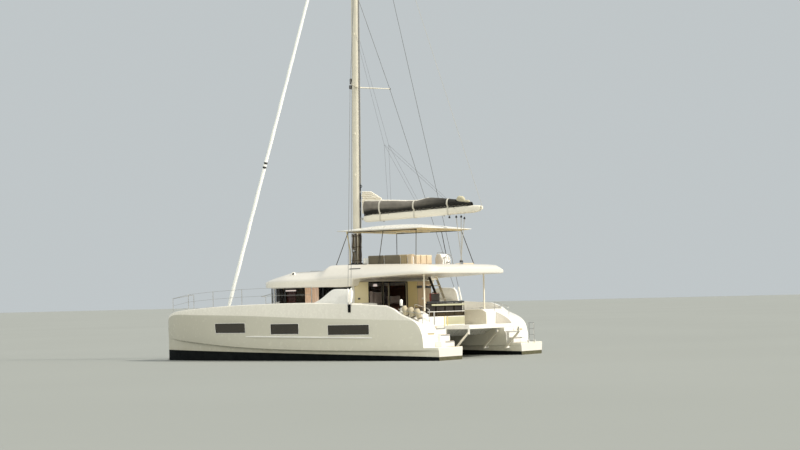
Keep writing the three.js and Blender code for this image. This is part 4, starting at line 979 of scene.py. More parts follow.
def house():
    from_node("house_wall", "gelcoat", 0.006)
    dress("house_glass", "dark_glass")
    for name in ("bulkhead_pane", "corner_pane_port", "corner_pane_starboard"):
        dress(name, "aft_glass")
    from_node("bulkhead", "tan", 0.004)
    form = Shape()
    for side in (1, -1):
        for x in (1.13, -0.2, -0.77, -1.5):
            form.box((x - 0.02, side * 2.6 - 0.012, 2.262), (x + 0.02, side * 2.6 + 0.004, 2.878), "black_plastic",
                     0.003)
    plan = house_plan(0.0)
    for x, y in plan[2:11]:
        form.tube([(x - 0.008, y * 0.997, 2.265), (x - 0.008, y * 0.997, 2.875)], 0.02, "black_plastic", 8)
    piece("window_mullions", form, "hulls", "dark_glass")
    # Dark sheets inside the front windows stand in for the saloon's shade behind the glass: painted shade; the olive
    # one paints the lighter view through the fore side window
    shade_sheets, inside = Shape(), house_plan(-0.13)
    for k in range(8):
        (ax, ay), (bx, by) = inside[k + 2], inside[k + 3]
        look = "blind_olive" if k == 2 else "blind_dark"
        shade_sheets.prism([(ax, ay), (bx, by), (bx - 0.012, by * 0.995), (ax - 0.012, ay * 0.995)], (2.2, 2.93), "Z", look,
                     0.002)
    piece("window_painted_shade_sheets", shade_sheets, "hulls", "dark_glass")
    trim = Shape()
    for y0, y1 in ((0.0, 0.05), (1.25, 1.31), (1.64, 1.715)):
        strip(trim, (AFT_WALL_X, y0), (AFT_WALL_X, y1), (1.29, 3.0), 0.006, "frame_black")
    strip(trim, (AFT_WALL_X, 0.0), (AFT_WALL_X, 1.715), (2.985, 3.04), 0.006, "frame_black")
    for side in (1, -1):
        for s0, s1 in ((0.49, 0.53), (0.945, 0.995)):
            strip(trim, corner_at(s0, side), corner_at(s1, side), (1.29, 3.0), 0.006, "frame_black")
        strip(trim, corner_at(0.49, side), corner_at(0.995, side), (2.985, 3.04), 0.006, "frame_black")
        # The corner panel's olive colour is partly its own tan and partly painted shade from the roof overhang
        strip(trim, corner_at(0.02, side), corner_at(0.485, side), (1.32, 3.02), 0.008, "olive", 0.004)
        strip(trim, corner_at(0.12, side), corner_at(0.2, side), (2.35, 2.42), 0.02, "black_plastic", 0.004)
    strip(trim, (AFT_WALL_X, -0.02), (AFT_WALL_X, -0.7), (1.31, 3.03), 0.008, "strip_tan", 0.004)
    strip(trim, (AFT_WALL_X, -0.74), (AFT_WALL_X, -1.7), (1.31, 3.03), 0.008, "pinkish", 0.004)
    for y0, y1 in ((-0.66, -1.05), (-1.28, -1.7)):
        strip(trim, (AFT_WALL_X, y0), (AFT_WALL_X, y1), (2.757, 2.862), 0.016, "black_plastic", 0.004)
    strip(trim, (AFT_WALL_X, -1.0), (AFT_WALL_X, -1.12), (2.3, 2.38), 0.02, "lamp_white", 0.004)
    piece("aft_wall_trim", trim, "hulls", "tan_panel")


house()


def sliding_door():
    made = Shape()
    x0, x1 = -2.975, -2.935
    outer, inner = ((-1.2, 0.02), (1.2903, 2.96)), ((-1.13, -0.05), (1.3603, 2.89))
    (y0, y1), (z0, z1) = outer
    (a0, a1), (b0, b1) = inner
    for lo, hi in (((x0, y0, z0), (x1, a0, z1)), ((x0, a1, z0), (x1, y1, z1)), ((x0, a0, z0), (x1, a1, b0)),
                   ((x0, a0, b1), (x1, a1, z1))):
        made.box(lo, hi, "frame_black", 0.004)
    made.box((x0 + 0.015, a0 - 0.005, b0 - 0.005), (x1 - 0.015, a1 + 0.005, b1 + 0.005), "aft_glass", 0.001)
    made.tube([(x0 - 0.02, -0.01, 1.95), (x0 - 0.02, -0.01, 2.25)], 0.008, "stainless")
    piece("sliding_door_leaf", made, "sliding_door", "dark_glass", "sliding_door")


sliding_door()

# Bimini: a crowned top with rounded corners on its tubes

RAIL_Z = 5.045
POLES = [((-1.43, 1.72), (-1.09, 2.19)), ((-3.1, 1.684), (-3.19, 2.2)), ((-4.65, 1.65), (-4.99, 2.23)),
         ((-1.43, -1.72), (-1.09, -2.19)), ((-3.68, -1.671), (-3.64, -2.2)), ((-4.65, -1.65), (-4.88, -2.23))]
BIMINI = {"fore": -0.93, "aft": -5.03, "half": 1.935, "low": 5.056, "edge": 5.12, "crown": 5.325}


def bimini():
    fore, aft, half = BIMINI["fore"], BIMINI["aft"], BIMINI["half"]
    mid, reach = (fore + aft) / 2, (fore - aft) / 2
    rings, steps = [], 28
    for k in range(steps + 1):
        along = cos(pi * k / steps)
        x = mid + reach * along
        across = half * (1 - 0.055 * abs(along) ** 16)
        lift = 0.035 * abs(along) ** 6
        crown = BIMINI["edge"] + lift * 0.3 + (BIMINI["crown"] - BIMINI["edge"]) * (1 - abs(along) ** 2.6)
        edge = BIMINI["edge"] - 0.01
        bottom = BIMINI["low"] + lift
        top = [(across * c, edge + (crown - edge) * (1 - c ** 2.2))
               for c in (1.0, 0.96, 0.88, 0.75, 0.58, 0.4, 0.2, 0.0)]
        rim = [(across - 0.05, bottom), (across - 0.012, bottom + 0.012), (across + 0.004, (edge + bottom) / 2)]
        side = rim + top
        rings.append([(x, y, z) for y, z in side] + [(x, -y, z) for y, z in side[-2::-1]])
    count = len(rings[0])
    # The top's underside, which looks down into shade, gets a bright warm colour: painted light
    form = Shape().loft(rings, "gelcoat", stripes={count - 1: "underside"})
    for x in (-1.9, -3.0, -4.1):
        form.box((x - 0.01, -1.7, BIMINI["low"] - 0.004), (x + 0.01, 1.7, BIMINI["low"] + 0.004), "rubber", 0.002)
    for y in (-0.7, 0.7):
        for x in (-2.5, -3.7):
            lamp = (x, y, BIMINI["low"] - 0.012), (x, y, BIMINI["low"] + 0.01)
            form.turned(*lamp, [(0, 0.05), (0.5, 0.055), (1, 0.055)], "lamp_white")
    piece("bimini_hard_top", form, "hulls", "gelcoat", "bimini_top", angle=40)
    # The poles' dark metal stands in for the dark surroundings that stainless reflects: painted reflection
    tubes = Shape()
    (fore_x, fore_y), (aft_x, aft_y) = POLES[0][0], POLES[2][0]
    for (tx, ty), (fx, fy) in POLES:
        top, foot = (tx, ty, RAIL_Z - 0.0025), (fx, fy, 3.6)
        tubes.tube([foot, tuple(Vector(foot).lerp(Vector(top), 0.93)), top], 0.015, "pole", 10)
        base = Vector(foot).lerp(Vector(top), 0.045)
        tubes.turned(foot, tuple(base), [(0, 0.04), (0.3, 0.04), (0.5, 0.024), (1, 0.022)], "pole", 14)
    for side in (1, -1):
        tubes.tube([(fore_x + 0.025, side * fore_y, RAIL_Z), (aft_x - 0.025, side * aft_y, RAIL_Z)], 0.02, "pole", 10)
    # The cross tubes under the top get the same bright colour: painted light
    for (tx, ty), _ in POLES[:3]:
        tubes.tube([(tx, -ty, RAIL_Z - 0.0025), (tx, ty, RAIL_Z - 0.0025)], 0.015, "underside", 10)
    piece("bimini_tubes", tubes, "hulls", "stainless", "bimini_frame")


bimini()

# Mast, spreaders and what stands at its foot

MAST_FOOT, MAST_HEAD = (-0.6, 0, 3.66), (-0.92, 0, 22.0)
MAST_HALF = (0.18, 0.103)
SPREADER_Z = 11.05
BOOM_PIN = (-0.88, 0, 5.64)
STAY_FOOT, STAY_HEAD = (6.32, 0, 1.9), (-0.76, 0, 21.6)


def mast_x(z):
    """The mast's middle at a height; it leans aft."""
    return MAST_FOOT[0] + (z - MAST_FOOT[2]) / (MAST_HEAD[2] - MAST_FOOT[2]) * (MAST_HEAD[0] - MAST_FOOT[0])


def mast():
    form = Shape()
    hx, hy = MAST_HALF
    rings = []
    for z in [3.66, 3.72] + [3.66 + 1.4107 * k for k in range(1, 13)] + [21.4, 21.8, 22.0]:
        taper = 1 - 0.28 * max(0, (z - 19.5) / 2.5)
        c = mast_x(z)
        ring = []
        for k in range(40):
            angle = 2 * pi * k / 40
            x, y = hx * cos(angle), hy * sin(angle)
            if abs(y) < 0.018 and x < 0:
                x += 0.018
            ring.append((c + x * taper, y * taper, z))
        rings.append(ring)
    form.loft(rings, "spar_paint")
    root = (-0.77, 0, SPREADER_Z)
    for side in (1, -1):
        tip = (-1.46, side * 1.38, SPREADER_Z)
        blade = []
        for k in range(9):
            t = k / 8
            c = Vector(root).lerp(Vector(tip), t)
            w, h = 0.075 - 0.03 * t, 0.026 - 0.008 * t
            blade.append([(c.x + w * u, c.y, c.z + h * v) for u, v in around(14)])
        form.loft(blade, "spar_paint")
        form.turned((-1.475, side * 1.40, SPREADER_Z - 0.03), (-1.475, side * 1.40, SPREADER_Z + 0.03),
                    [(0, 0.03), (1, 0.03)], "black_plastic", 12)
    for z in (BOOM_PIN[2] - 0.05, BOOM_PIN[2] + 0.035):
        form.box((BOOM_PIN[0] - 0.045, -0.038, z), (-0.72, 0.038, z + 0.015), "stainless", 0.003)
    head = Vector(STAY_FOOT).lerp(Vector(STAY_HEAD), 0.9323)
    form.tube([tuple(head), STAY_HEAD], 0.012, "stainless", 8)
    collar = []
    for z, grow in ((3.655, 0.10), (3.69, 0.10), (3.71, 0.04), (3.80, 0.03), (3.82, 0.012)):
        collar.append([(mast_x(z) + (hx + grow) * c, (hy + grow) * s, z) for c, s in around(28)])
    form.loft(collar, "rubber")
    for angle in (40, 75, 105, 140, 220, 255, 285, 320):
        a = radians(angle)
        x, y = mast_x(3.8) + (hx + 0.055) * cos(a), (hy + 0.055) * sin(a)
        form.box((x - 0.03, y - 0.02, 3.74), (x + 0.03, y + 0.02, 3.86), "black_plastic", 0.012)
    for k in range(19):
        a = 2 * pi * k / 19
        sway = 0.02 * sin(3 * k)
        points = []
        for j in range(8):
            z = 3.83 + 0.175 * j
            out = 0.022 + 0.012 * sin(1.7 * j + k)
            points.append((mast_x(z) + (hx + out) * cos(a + sway * j), (hy + out) * sin(a + sway * j), z))
        form.tube(points, 0.017, ("rope_brown", "rope_dark", "rope_brown", "rope_tan")[k % 4], 6)
    for z in (3.95, 4.5, 4.95):
        form.tube([(mast_x(z) + (hx + 0.05) * cos(2 * pi * j / 20), (hy + 0.05) * sin(2 * pi * j / 20),
                    z + 0.01 * sin(j)) for j in range(20)], 0.014, "rope_brown", 6, cyclic=True)
    for z in (5.75, 6.1, 6.45, 6.8):
        form.box((mast_x(z) - hx - 0.035, -0.03, z), (mast_x(z) - hx + 0.01, 0.03, z + 0.25), "black_plastic", 0.006)
    ring = [(mast_x(6.98) - hx - 0.05 + 0.045 * cos(2 * pi * j / 16), 0.0, 6.98 + 0.045 * sin(2 * pi * j / 16))
            for j in range(16)]
    form.tube(ring, 0.014, "black_plastic", 8, cyclic=True)
    form.tube([(-0.5, 0.07, 5.15), (-0.30, 0.25, 5.12), (-0.445, 0.25, 4.39), (-0.43, 0.25, 3.55)], 0.022, "strip_tan",
              10)
    for z, side in ((4.35, 1), (4.75, -1), (5.05, 1)):
        y = side * hy
        x = mast_x(z)
        form.turned((x, y - side * 0.01, z), (x, y + side * 0.13, z),
                    [(0, 0.055), (0.15, 0.06), (0.3, 0.042), (0.7, 0.045), (0.8, 0.058), (1, 0.05)], "stainless", 20)
    for k in range(6):
        y = -0.05 + 0.02 * k
        z = 4.1 + 0.24 * k
        form.tube([(mast_x(3.9) - hx - 0.005, y, 3.86), (mast_x(z) - hx - 0.012, y, z),
                   (mast_x(9) - hx - 0.008, y, 9.0), (mast_x(21.3) - hx + 0.01, y * 0.5, 21.3)], 0.006,
                  ("rope_white", "rope_dark", "rope_blue")[k % 3], 6)
    z = 11.32
    x = mast_x(z) + hx
    form.box((x - 0.02, -0.05, z - 0.06), (x + 0.09, 0.05, z - 0.03), "grey_plastic", 0.006)
    form.turned((x + 0.06, 0, z - 0.03), (x + 0.06, 0, z + 0.12), [(0, 0.045), (0.2, 0.05), (0.8, 0.05), (1, 0.03)],
                "black_plastic", 16)
    form.box((x - 0.01, -0.09, z - 0.32), (x + 0.10, 0.09, z - 0.16), "black_plastic", 0.02)
    for z in (7.4, 9.1, 13.2, 15.4, 17.6, 19.8):
        form.box((mast_x(z) - 0.05, -hy - 0.012, z), (mast_x(z) + 0.05, hy + 0.012, z + 0.09), "spar_paint", 0.01)
    form.box((mast_x(22) - 0.26, -0.05, 21.94), (mast_x(22) + 0.2, 0.05, 22.02), "spar_paint", 0.012)
    form.tube([(mast_x(22) + 0.1, 0.03, 22.0), (mast_x(22) + 0.1, 0.03, 22.45)], 0.005, "black_plastic", 6)
    form.turned((mast_x(22) + 0.02, -0.02, 22.02), (mast_x(22) + 0.02, -0.02, 22.13),
                [(0, 0.035), (0.3, 0.04), (0.9, 0.04), (1, 0.02)], "lamp_white", 14)
    form.tube([(mast_x(22) - 0.2, 0, 22.02), (mast_x(22) - 0.2, 0, 22.2), (mast_x(22) - 0.42, 0, 22.22)], 0.006,
              "black_plastic", 6)
    piece("mast_dressed", form, "hulls", "spar_paint", "mast", angle=40)


mast()

# Boom, cover and sail

BOOM_ROWS = [(-1.01, 0.05, 5.57, 5.72), (-1.10, 0.085, 5.51, 5.785), (-1.25, 0.105, 5.492, 5.808),
             (-3.5, 0.105, 5.564, 5.872), (-6.3, 0.105, 5.655, 5.95), (-6.5, 0.09, 5.69, 5.94),
             (-6.6, 0.07, 5.72, 5.93)]


SHEET_BLOCKS = ((-5.15, 0.10), (-5.47, 0.11), (-5.70, 0.12), (-5.85, 0.19))


def boom_low(x):
    """The height of the boom's lower side."""
    return 5.49 + (5.655 - 5.49) * (-1.16 - x) / 5.14


def oval(x, half, low, high, count=24, power=0.62):
    mid, tall = (low + high) / 2, (high - low) / 2
    ring = []
    for k in range(count):
        angle = 2 * pi * k / count
        c, s = cos(angle), sin(angle)
        ring.append((x, half * abs(c) ** power * (1 if c >= 0 else -1),
                     mid + tall * abs(s) ** power * (1 if s >= 0 else -1)))
    return ring


def boom():
    form = Shape()
    form.loft([oval(*row) for row in BOOM_ROWS], "boom_paint")
    form.tube([(-0.88, 0, 5.64), (-0.97, 0, 5.642), (-1.05, 0, 5.645)], 0.026, "stainless", 12)
    form.turned((-0.88, 0, 5.6053), (-0.88, 0, 5.6747), [(0, 0.032), (1, 0.032)], "stainless", 16)
    form.box((-6.70, -0.05, 5.77), (-6.58, 0.05, 5.91), "spar_paint", 0.02)
    form.turned((-6.66, -0.056, 5.85), (-6.66, 0.056, 5.85), [(0, 0.018), (0.3, 0.022), (0.7, 0.022), (1, 0.018)],
                "black_plastic", 16)
    for x in (-2.0, -4.9):
        z = boom_low(x)
        form.box((x - 0.03, -0.015, z - 0.05), (x + 0.03, 0.015, z + 0.02), "stainless", 0.006)
    for x, drop in SHEET_BLOCKS:
        z = boom_low(x)
        form.turned((x, -0.03, z - drop), (x, 0.03, z - drop),
                    [(0, 0.032), (0.3, 0.038), (0.5, 0.032), (0.7, 0.038), (1, 0.032)], "black_plastic", 16)
        form.box((x - 0.018, -0.03, z - drop - 0.01), (x + 0.018, 0.03, z - drop + 0.06), "black_plastic", 0.01)
        form.tube([(x, 0, z - drop + 0.07), (x, 0, z + 0.01)], 0.008, "stainless", 6)
    piece("boom_dressed", form, "boom", "spar_paint", "boom", angle=40)


boom()

COVER_ROWS = [(-1.08, 0.15, 5.76, 6.37), (-2.2, 0.17, 5.812, 6.33), (-3.6, 0.165, 5.865, 6.27),
              (-4.2, 0.16, 5.89, 6.35), (-4.55, 0.155, 5.903, 6.33), (-5.4, 0.13, 5.935, 6.23),
              (-6.22, 0.08, 5.955, 6.08)]


COVER_FORE, COVER_LONG, COVER_STEPS = -1.08, 5.14, 96


def cover():
    """The canvas from one side of the boom up over the sail and down to the other, as one sheet."""
    rings = []
    for k in range(COVER_STEPS + 1):
        x = COVER_FORE - COVER_LONG * k / COVER_STEPS
        _, half, low, high = row_at(COVER_ROWS, x)
        fold = 0.012 * sin(9 * x) + 0.008 * sin(23 * x + 1.0)
        slack = 0.5 + 0.5 * cos(2 * pi * (x + 1.9) / 1.65)
        ring = []
        for j in range(25):
            t = -1 + 2 * j / 24
            s = abs(t)
            side = 1 if t >= 0 else -1
            if s < 0.34:
                y, z = half * 0.62 * s / 0.34, high - 0.055 * (s / 0.34) ** 2
            else:
                u = (s - 0.34) / 0.66
                y = half * (0.62 + 0.42 * sin(pi * min(1, u * 1.15)) ** 0.7 - 0.05 * u)
                z = high - 0.055 - (high - 0.055 - low + 0.01) * u
            wave = fold * (0.3 + s) + 0.016 * slack * sin(5 * s * pi + 3 * x) * s
            ring.append((x, side * min(y + wave * 0.6, half * 1.06), z + wave * (0.5 if s < 0.4 else 0.15)))
        rings.append(ring)
    made = Shape().loft(rings, "charcoal", closed=False).object("sail_cover_canvas")
    thicken(made, 0.004)
    place(made, "boom", "charcoal_canvas", "sail_cover", angle=60)
    return rings


cover_rings = cover()


def cover_trim():
    """Straps round the cover, its lacing to the boom and the sail that shows at its ends."""
    form = Shape()
    for x in (-1.88, -3.53, -5.13):
        line = []
        for _, y, z in cover_rings[round((COVER_FORE - x) / COVER_LONG * COVER_STEPS)]:
            grow = 1 + 0.012 / max(0.05, abs(y)) if abs(y) > 0.02 else 1
            line.append((y * grow, z + (0.008 if abs(y) < 0.12 else 0)))
        low = boom_low(x)
        under = [(0.112, low + 0.06), (0.07, low - 0.008), (-0.07, low - 0.008), (-0.112, low + 0.06)]
        loop = [(-0.112, low + 0.16), *line, (0.112, low + 0.16), *under]
        form.loft([[(x + s, y, z) for y, z in loop] for s in (-0.035, 0.035)], "strap", True, False)
    made = form.object("cover_straps")
    thicken(made, 0.005, 0)
    place(made, "boom", "sailcloth")
    lace = Shape()
    for side in (1, -1):
        points = []
        for k in range(49):
            x = -1.15 - 4.9 * k / 48
            _, half, low, high = row_at(COVER_ROWS, x)
            z = low + (0.0 if k % 2 else 0.035)
            points.append((x, side * (half * 0.62 + 0.045 if k % 2 == 0 else 0.108), z))
        lace.tube(points, 0.0035, "rope_white", 5)
    piece("cover_lacing", lace, "boom", "sailcloth")
    crest = Shape()
    rings = []
    for k in range(33):
        t = k / 32
        x = -1.1 - 3.1 * t
        high = row_at(COVER_ROWS, x)[3]
        rings.append(oval(x, 0.055 - 0.02 * t + 0.006 * sin(3 * k), high - 0.05,
                          high + (0.055 - 0.045 * t) * (0.85 + 0.15 * sin(2.3 * k)), 12, 0.9))
    crest.loft(rings, "sailcloth")
    piece("sail_crest", crest, "boom", "sailcloth", angle=60)


cover_trim()


def flakes():
    """Folds of the mainsail that stand out of the cover behind the mast, as one folded sheet."""
    rings = []
    for k in range(25):
        t = k / 24
        x = -0.93 - 0.96 * t
        high = 6.765 - 0.06 * t if t < 0.5 else 6.735 - 0.285 * ((t - 0.5) / 0.5) ** 0.9
        low = 6.425 - 0.04 * t
        ring = []
        turns = 9
        for j in range(turns * 4 + 1):
            s = j / (turns * 4)
            z = low + (high - low) * s
            y = (0.036 - 0.01 * t - 0.016 * s) * sin(turns * pi * s + 0.8 * t) + 0.012 * sin(9 * x + 7 * s)
            ring.append((x - 0.02 * sin(3 * pi * s), y, z))
        rings.append(ring)
    made = Shape().loft(rings, "sailcloth", closed=False).object("flaked_sail_folds")
    thicken(made, 0.012, 0)
    place(made, "boom", "sailcloth", "flaked_sail", angle=70)
    luff = Shape()
    for k in range(9):
        z = 5.89 + 0.065 * k
        points = [(-0.995 + 0.012 * sin(2 * k) + 0.045 * cos(a), 0.052 * sin(a) * (0.9 + 0.1 * cos(k)),
                   z + 0.022 * cos(2 * a)) for a in [2 * pi * j / 16 for j in range(16)]]
        luff.tube(points, [0.02 + 0.008 * sin(3 * j + k) for j in range(16)], "sailcloth", 8, cyclic=True)
    luff.loft([oval(-0.955 - 0.04 * j, 0.03 + 0.012 * (j % 2), 5.88, 6.44, 16) for j in range(4)], "sailcloth")
    piece("luff_bundle", luff, "boom", "sailcloth")
    # The folds at the boom's end use a darker copy of the mainsail's cloth: painted shade
    folds = Shape()
    for x0, high, reach in ((-5.49, 0.30, 0.42), (-5.86, 0.10, 0.26)):
        rings = []
        for k in range(13):
            t = k / 12
            bump = max(0.02, sin(pi * (0.06 + 0.9 * t))) ** 0.6
            rings.append(oval(x0 - reach * t, 0.015 + 0.065 * bump, 6.06,
                              6.09 + high * bump * (0.92 + 0.08 * sin(9 * t)), 16, 0.9))
        folds.loft(rings, "sail_soft")
    piece("leech_tuft", folds, "boom", "sailcloth", angle=60)


flakes()


def genoa():
    """The rolled headsail: its outer turn is one strip that winds up the stay."""
    foot, head = Vector(STAY_FOOT), Vector(STAY_HEAD)
    along = (head - foot).normalized()
    side = Vector((0, 1, 0))
    other = along.cross(side)
    rings = []
    start, end, steps = 0.19, 19.3, 260
    for k in range(steps + 1):
        d = start + (end - start) * k / steps
        r = 0.078 - 0.026 * (d - start) / (end - start)
        if d < 0.9:
            r *= 0.62 + 0.38 * ((d - start) / 0.71) ** 0.7
        turn = 2 * pi * d / 1.35
        ring = []
        for j in range(15):
            a = 2 * pi * j / 14
            grow = r + 0.007 * (j / 14) + 0.0035 * sin(2 * a + 5 * d)
            c = foot + along * d
            ring.append(tuple(c + (side * cos(a + turn) + other * sin(a + turn)) * grow))
        rings.append(ring)
    made = Shape().loft(rings, "uv_cloth", closed=False).object("furled_headsail")
    thicken(made, 0.006)
    place(made, "genoa_furler", "sailcloth", "furled_genoa", angle=60)
    drum = Shape()

    def at(d):
        return tuple(foot + along * d)

    drum.turned(at(0.0603), at(0.22),
                [(0, 0.03), (0.05, 0.115), (0.12, 0.12), (0.2, 0.07), (0.75, 0.07), (0.85, 0.12), (0.95, 0.115),
                 (1, 0.04)], "black_plastic", 28)
    drum.turned(at(0.09), at(0.19), [(0, 0.085), (1, 0.085)], "rope_white", 20)
    drum.turned(at(0.2), at(19.29), [(0, 0.03), (1, 0.03)], "spar_paint", 12)
    drum.turned(at(19.1), at(19.3), [(0, 0.04), (0.2, 0.05), (0.8, 0.05), (1, 0.03)], "black_plastic", 16)
    for share in (0.34, 0.35):
        drum.turned(at(19.1 * share), at(19.1 * share + 0.09), [(0, 0.07), (0.5, 0.085), (1, 0.07)], "black_plastic",
                    16)
    piece("furler_drum", drum, "genoa_furler", "sailcloth")


genoa()

# Standing and running lines


CHAINPLATE = {"x": -3.03, "y": 3.982, "z": 2.195}
SHROUDS = [(-2.97, [(-1.465, 1.405, 11.05), (mast_x(15.0), 0.06, 15.0)]), (-3.12, [(mast_x(21.8), 0.03, 21.8)])]


def shrouds():
    """Wires from the chainplate over the spreader's tip and to the masthead, with their screws under white sleeves."""
    form = Shape()
    x, y, z = CHAINPLATE["x"], CHAINPLATE["y"], CHAINPLATE["z"]
    form.box((x - 0.06, y - 0.025, z - 0.33), (x + 0.06, y + 0.012, z - 0.02), "frame_black", 0.006)
    for foot_x, way in SHROUDS:
        foot = Vector((foot_x, y, z - 0.06))
        along = (Vector(way[0]) - foot).normalized()
        # The wires' dark metal stands in for the dark surroundings that stainless reflects: painted reflection
        form.tube([tuple(foot), *way], 0.009, "wire", 6)
        form.turned(tuple(foot), tuple(foot + along * 0.13), [(0, 0.02), (0.6, 0.026), (1, 0.018)], "stainless", 12)
        form.turned(tuple(foot + along * 0.1), tuple(foot + along * 0.68),
                    [(0, 0.02), (0.03, 0.034), (0.95, 0.034), (1, 0.014)], "lamp_white", 14)
    return form


def rigging():
    both("shroud_wires", shrouds(), "hulls", "stainless", "shrouds")
    hull_lines, boom_lines = Shape(), Shape()
    for side in (1, -1):
        for x, z in ((-2.3, 10.6), (-3.9, 10.6), (-5.5, 10.6)):
            knot = (-2.2, side * 0.16, 8.6)
            boom_lines.tube([(x, side * 0.1, boom_low(x) + 0.2), knot], 0.004, "rope_dark", 5)
        hull_lines.tube([(mast_x(13.5), side * 0.08, 13.5), (-2.2, side * 0.16, 8.6)], 0.004, "rope_dark", 5)
    boom_lines.tube([(-6.68, 0, 5.9), (mast_x(21.9) - 0.25, 0, 21.95)], 0.006, "rope_white", 6)
    foot_x, foot_z = -5.66, 3.70
    for k, (x, drop) in enumerate(SHEET_BLOCKS[1:]):
        z = boom_low(x) - drop
        y = 0.045 * (k - 1)
        hull_lines.tube([(foot_x, y - 0.012, foot_z), (x, -0.012, z)], 0.0065, "rope_white", 6)
        hull_lines.tube([(foot_x, y + 0.022, foot_z), (x, 0.022, z)], 0.0065, "rope_white", 6)
        hull_lines.turned((foot_x, y - 0.02, foot_z + 0.06), (foot_x, y + 0.03, foot_z + 0.06),
                          [(0, 0.04), (0.3, 0.048), (0.5, 0.04), (0.7, 0.048), (1, 0.04)], "black_plastic", 14)
    hull_lines.box((foot_x - 0.03, -0.09, foot_z - 0.08), (foot_x + 0.03, 0.10, foot_z + 0.03), "stainless", 0.008)
    hull_lines.box((foot_x - 0.04, -1.2, 3.615), (foot_x + 0.04, 1.2, 3.64), "black_plastic", 0.006)
    piece("running_lines", hull_lines, "hulls", "stainless")
    piece("boom_lines", boom_lines, "boom", "spar_paint")


rigging()

# Flybridge: seats, console, wheel

PADS = []
SWELL_FRAMES = 20
CLOTH = {"quality": 4, "use_pressure": True, "uniform_pressure_force": 4, "tension_stiffness": 25,
         "compression_stiffness": 25, "bending_stiffness": 2}


def cushion(name, lo, hi, look, swell=0.022, trim=None):
    """A stuffed pad in a box; it is swollen by cloth simulation later, and its seams are laid after that."""
    inset = swell * 0.8
    lo, hi = Vector(lo) + Vector((inset, inset, 0)), Vector(hi) - Vector((inset, inset, inset))
    made = Shape().box(tuple(lo), tuple(hi), look, min(0.03, min(hi - lo) * 0.3), 3).object(name)
    step = made.modifiers.new("grid", "REMESH")
    step.mode = "VOXEL"
    step.voxel_size = 0.024
    settle(made)
    made.data.materials.clear()
    made.data.materials.append(FINISHES[look])
    PADS.append({"made": made, "look": look, "swell": swell, "trim": trim or look, "lo": lo, "hi": hi})


def simulate_pads():
    """Pressure fills every pad at once."""
    for pad in PADS:
        cloth = pad["made"].modifiers.new("cloth", "CLOTH")
        for key, value in CLOTH.items():
            setattr(cloth.settings, key, value)
        cloth.settings.effector_weights.gravity = 0
        cloth.collision_settings.use_collision = False
    for number in range(1, SWELL_FRAMES + 1):
        SCENE.frame_set(number)
    for pad in PADS:
        settle(pad["made"])
    SCENE.frame_set(1)


def seams(made, lo, hi, trim):
    """A piping round a pad's edges, laid on its swollen skin."""
    form, tree = Shape(), tree_of(made)
    thin = min(range(3), key=lambda k: hi[k] - lo[k])
    a, b = [k for k in range(3) if k != thin]
    for level in (lo[thin] + 0.016, hi[thin] - 0.016) if thin != 2 else (hi[2] - 0.012,):
        outline = plate(lo[a], hi[a], lo[b], hi[b], 0.045)
        line = []
        for p, q in zip(outline, outline[1:] + outline[:1]):
            count = max(1, round((Vector(q) - Vector(p)).length / 0.06))
            for s in range(count):
                point = Vector((0, 0, 0))
                point[a], point[b] = Vector(p).lerp(Vector(q), s / count)
                point[thin] = level
                line.append(tuple(tree.find_nearest(point)[0] or point))
        form.tube(line, 0.006, trim, 6, cyclic=True)
    return form


def swell_pads():
    """Every pad in its filled form; a point moves no further than the pad's cap."""
    before = [[v.co.copy() for v in pad["made"].data.vertices] for pad in PADS]
    simulate_pads()
    for pad, starts in zip(PADS, before):
        made, lo, hi, cap = (pad[key] for key in ("made", "lo", "hi", "swell"))
        for vertex, start in zip(made.data.vertices, starts):
            push = vertex.co - start
            if push.length > cap:
                push = push.normalized() * cap
            vertex.co = start + push
            vertex.co.z = max(vertex.co.z, lo.z)
        step = made.modifiers.new("fine", "SUBSURF")
        step.levels = step.render_levels = 1
        settle(made)
        welt = seams(made, lo, hi, pad["trim"]).object(made.name + "_welt")
        whole = joined(made.name + "_pad", made, welt)
        slot = "dark_cushion" if pad["look"] == "dark_cushion" else "taupe_cushion"
        place(whole, "hulls", slot, angle=60)


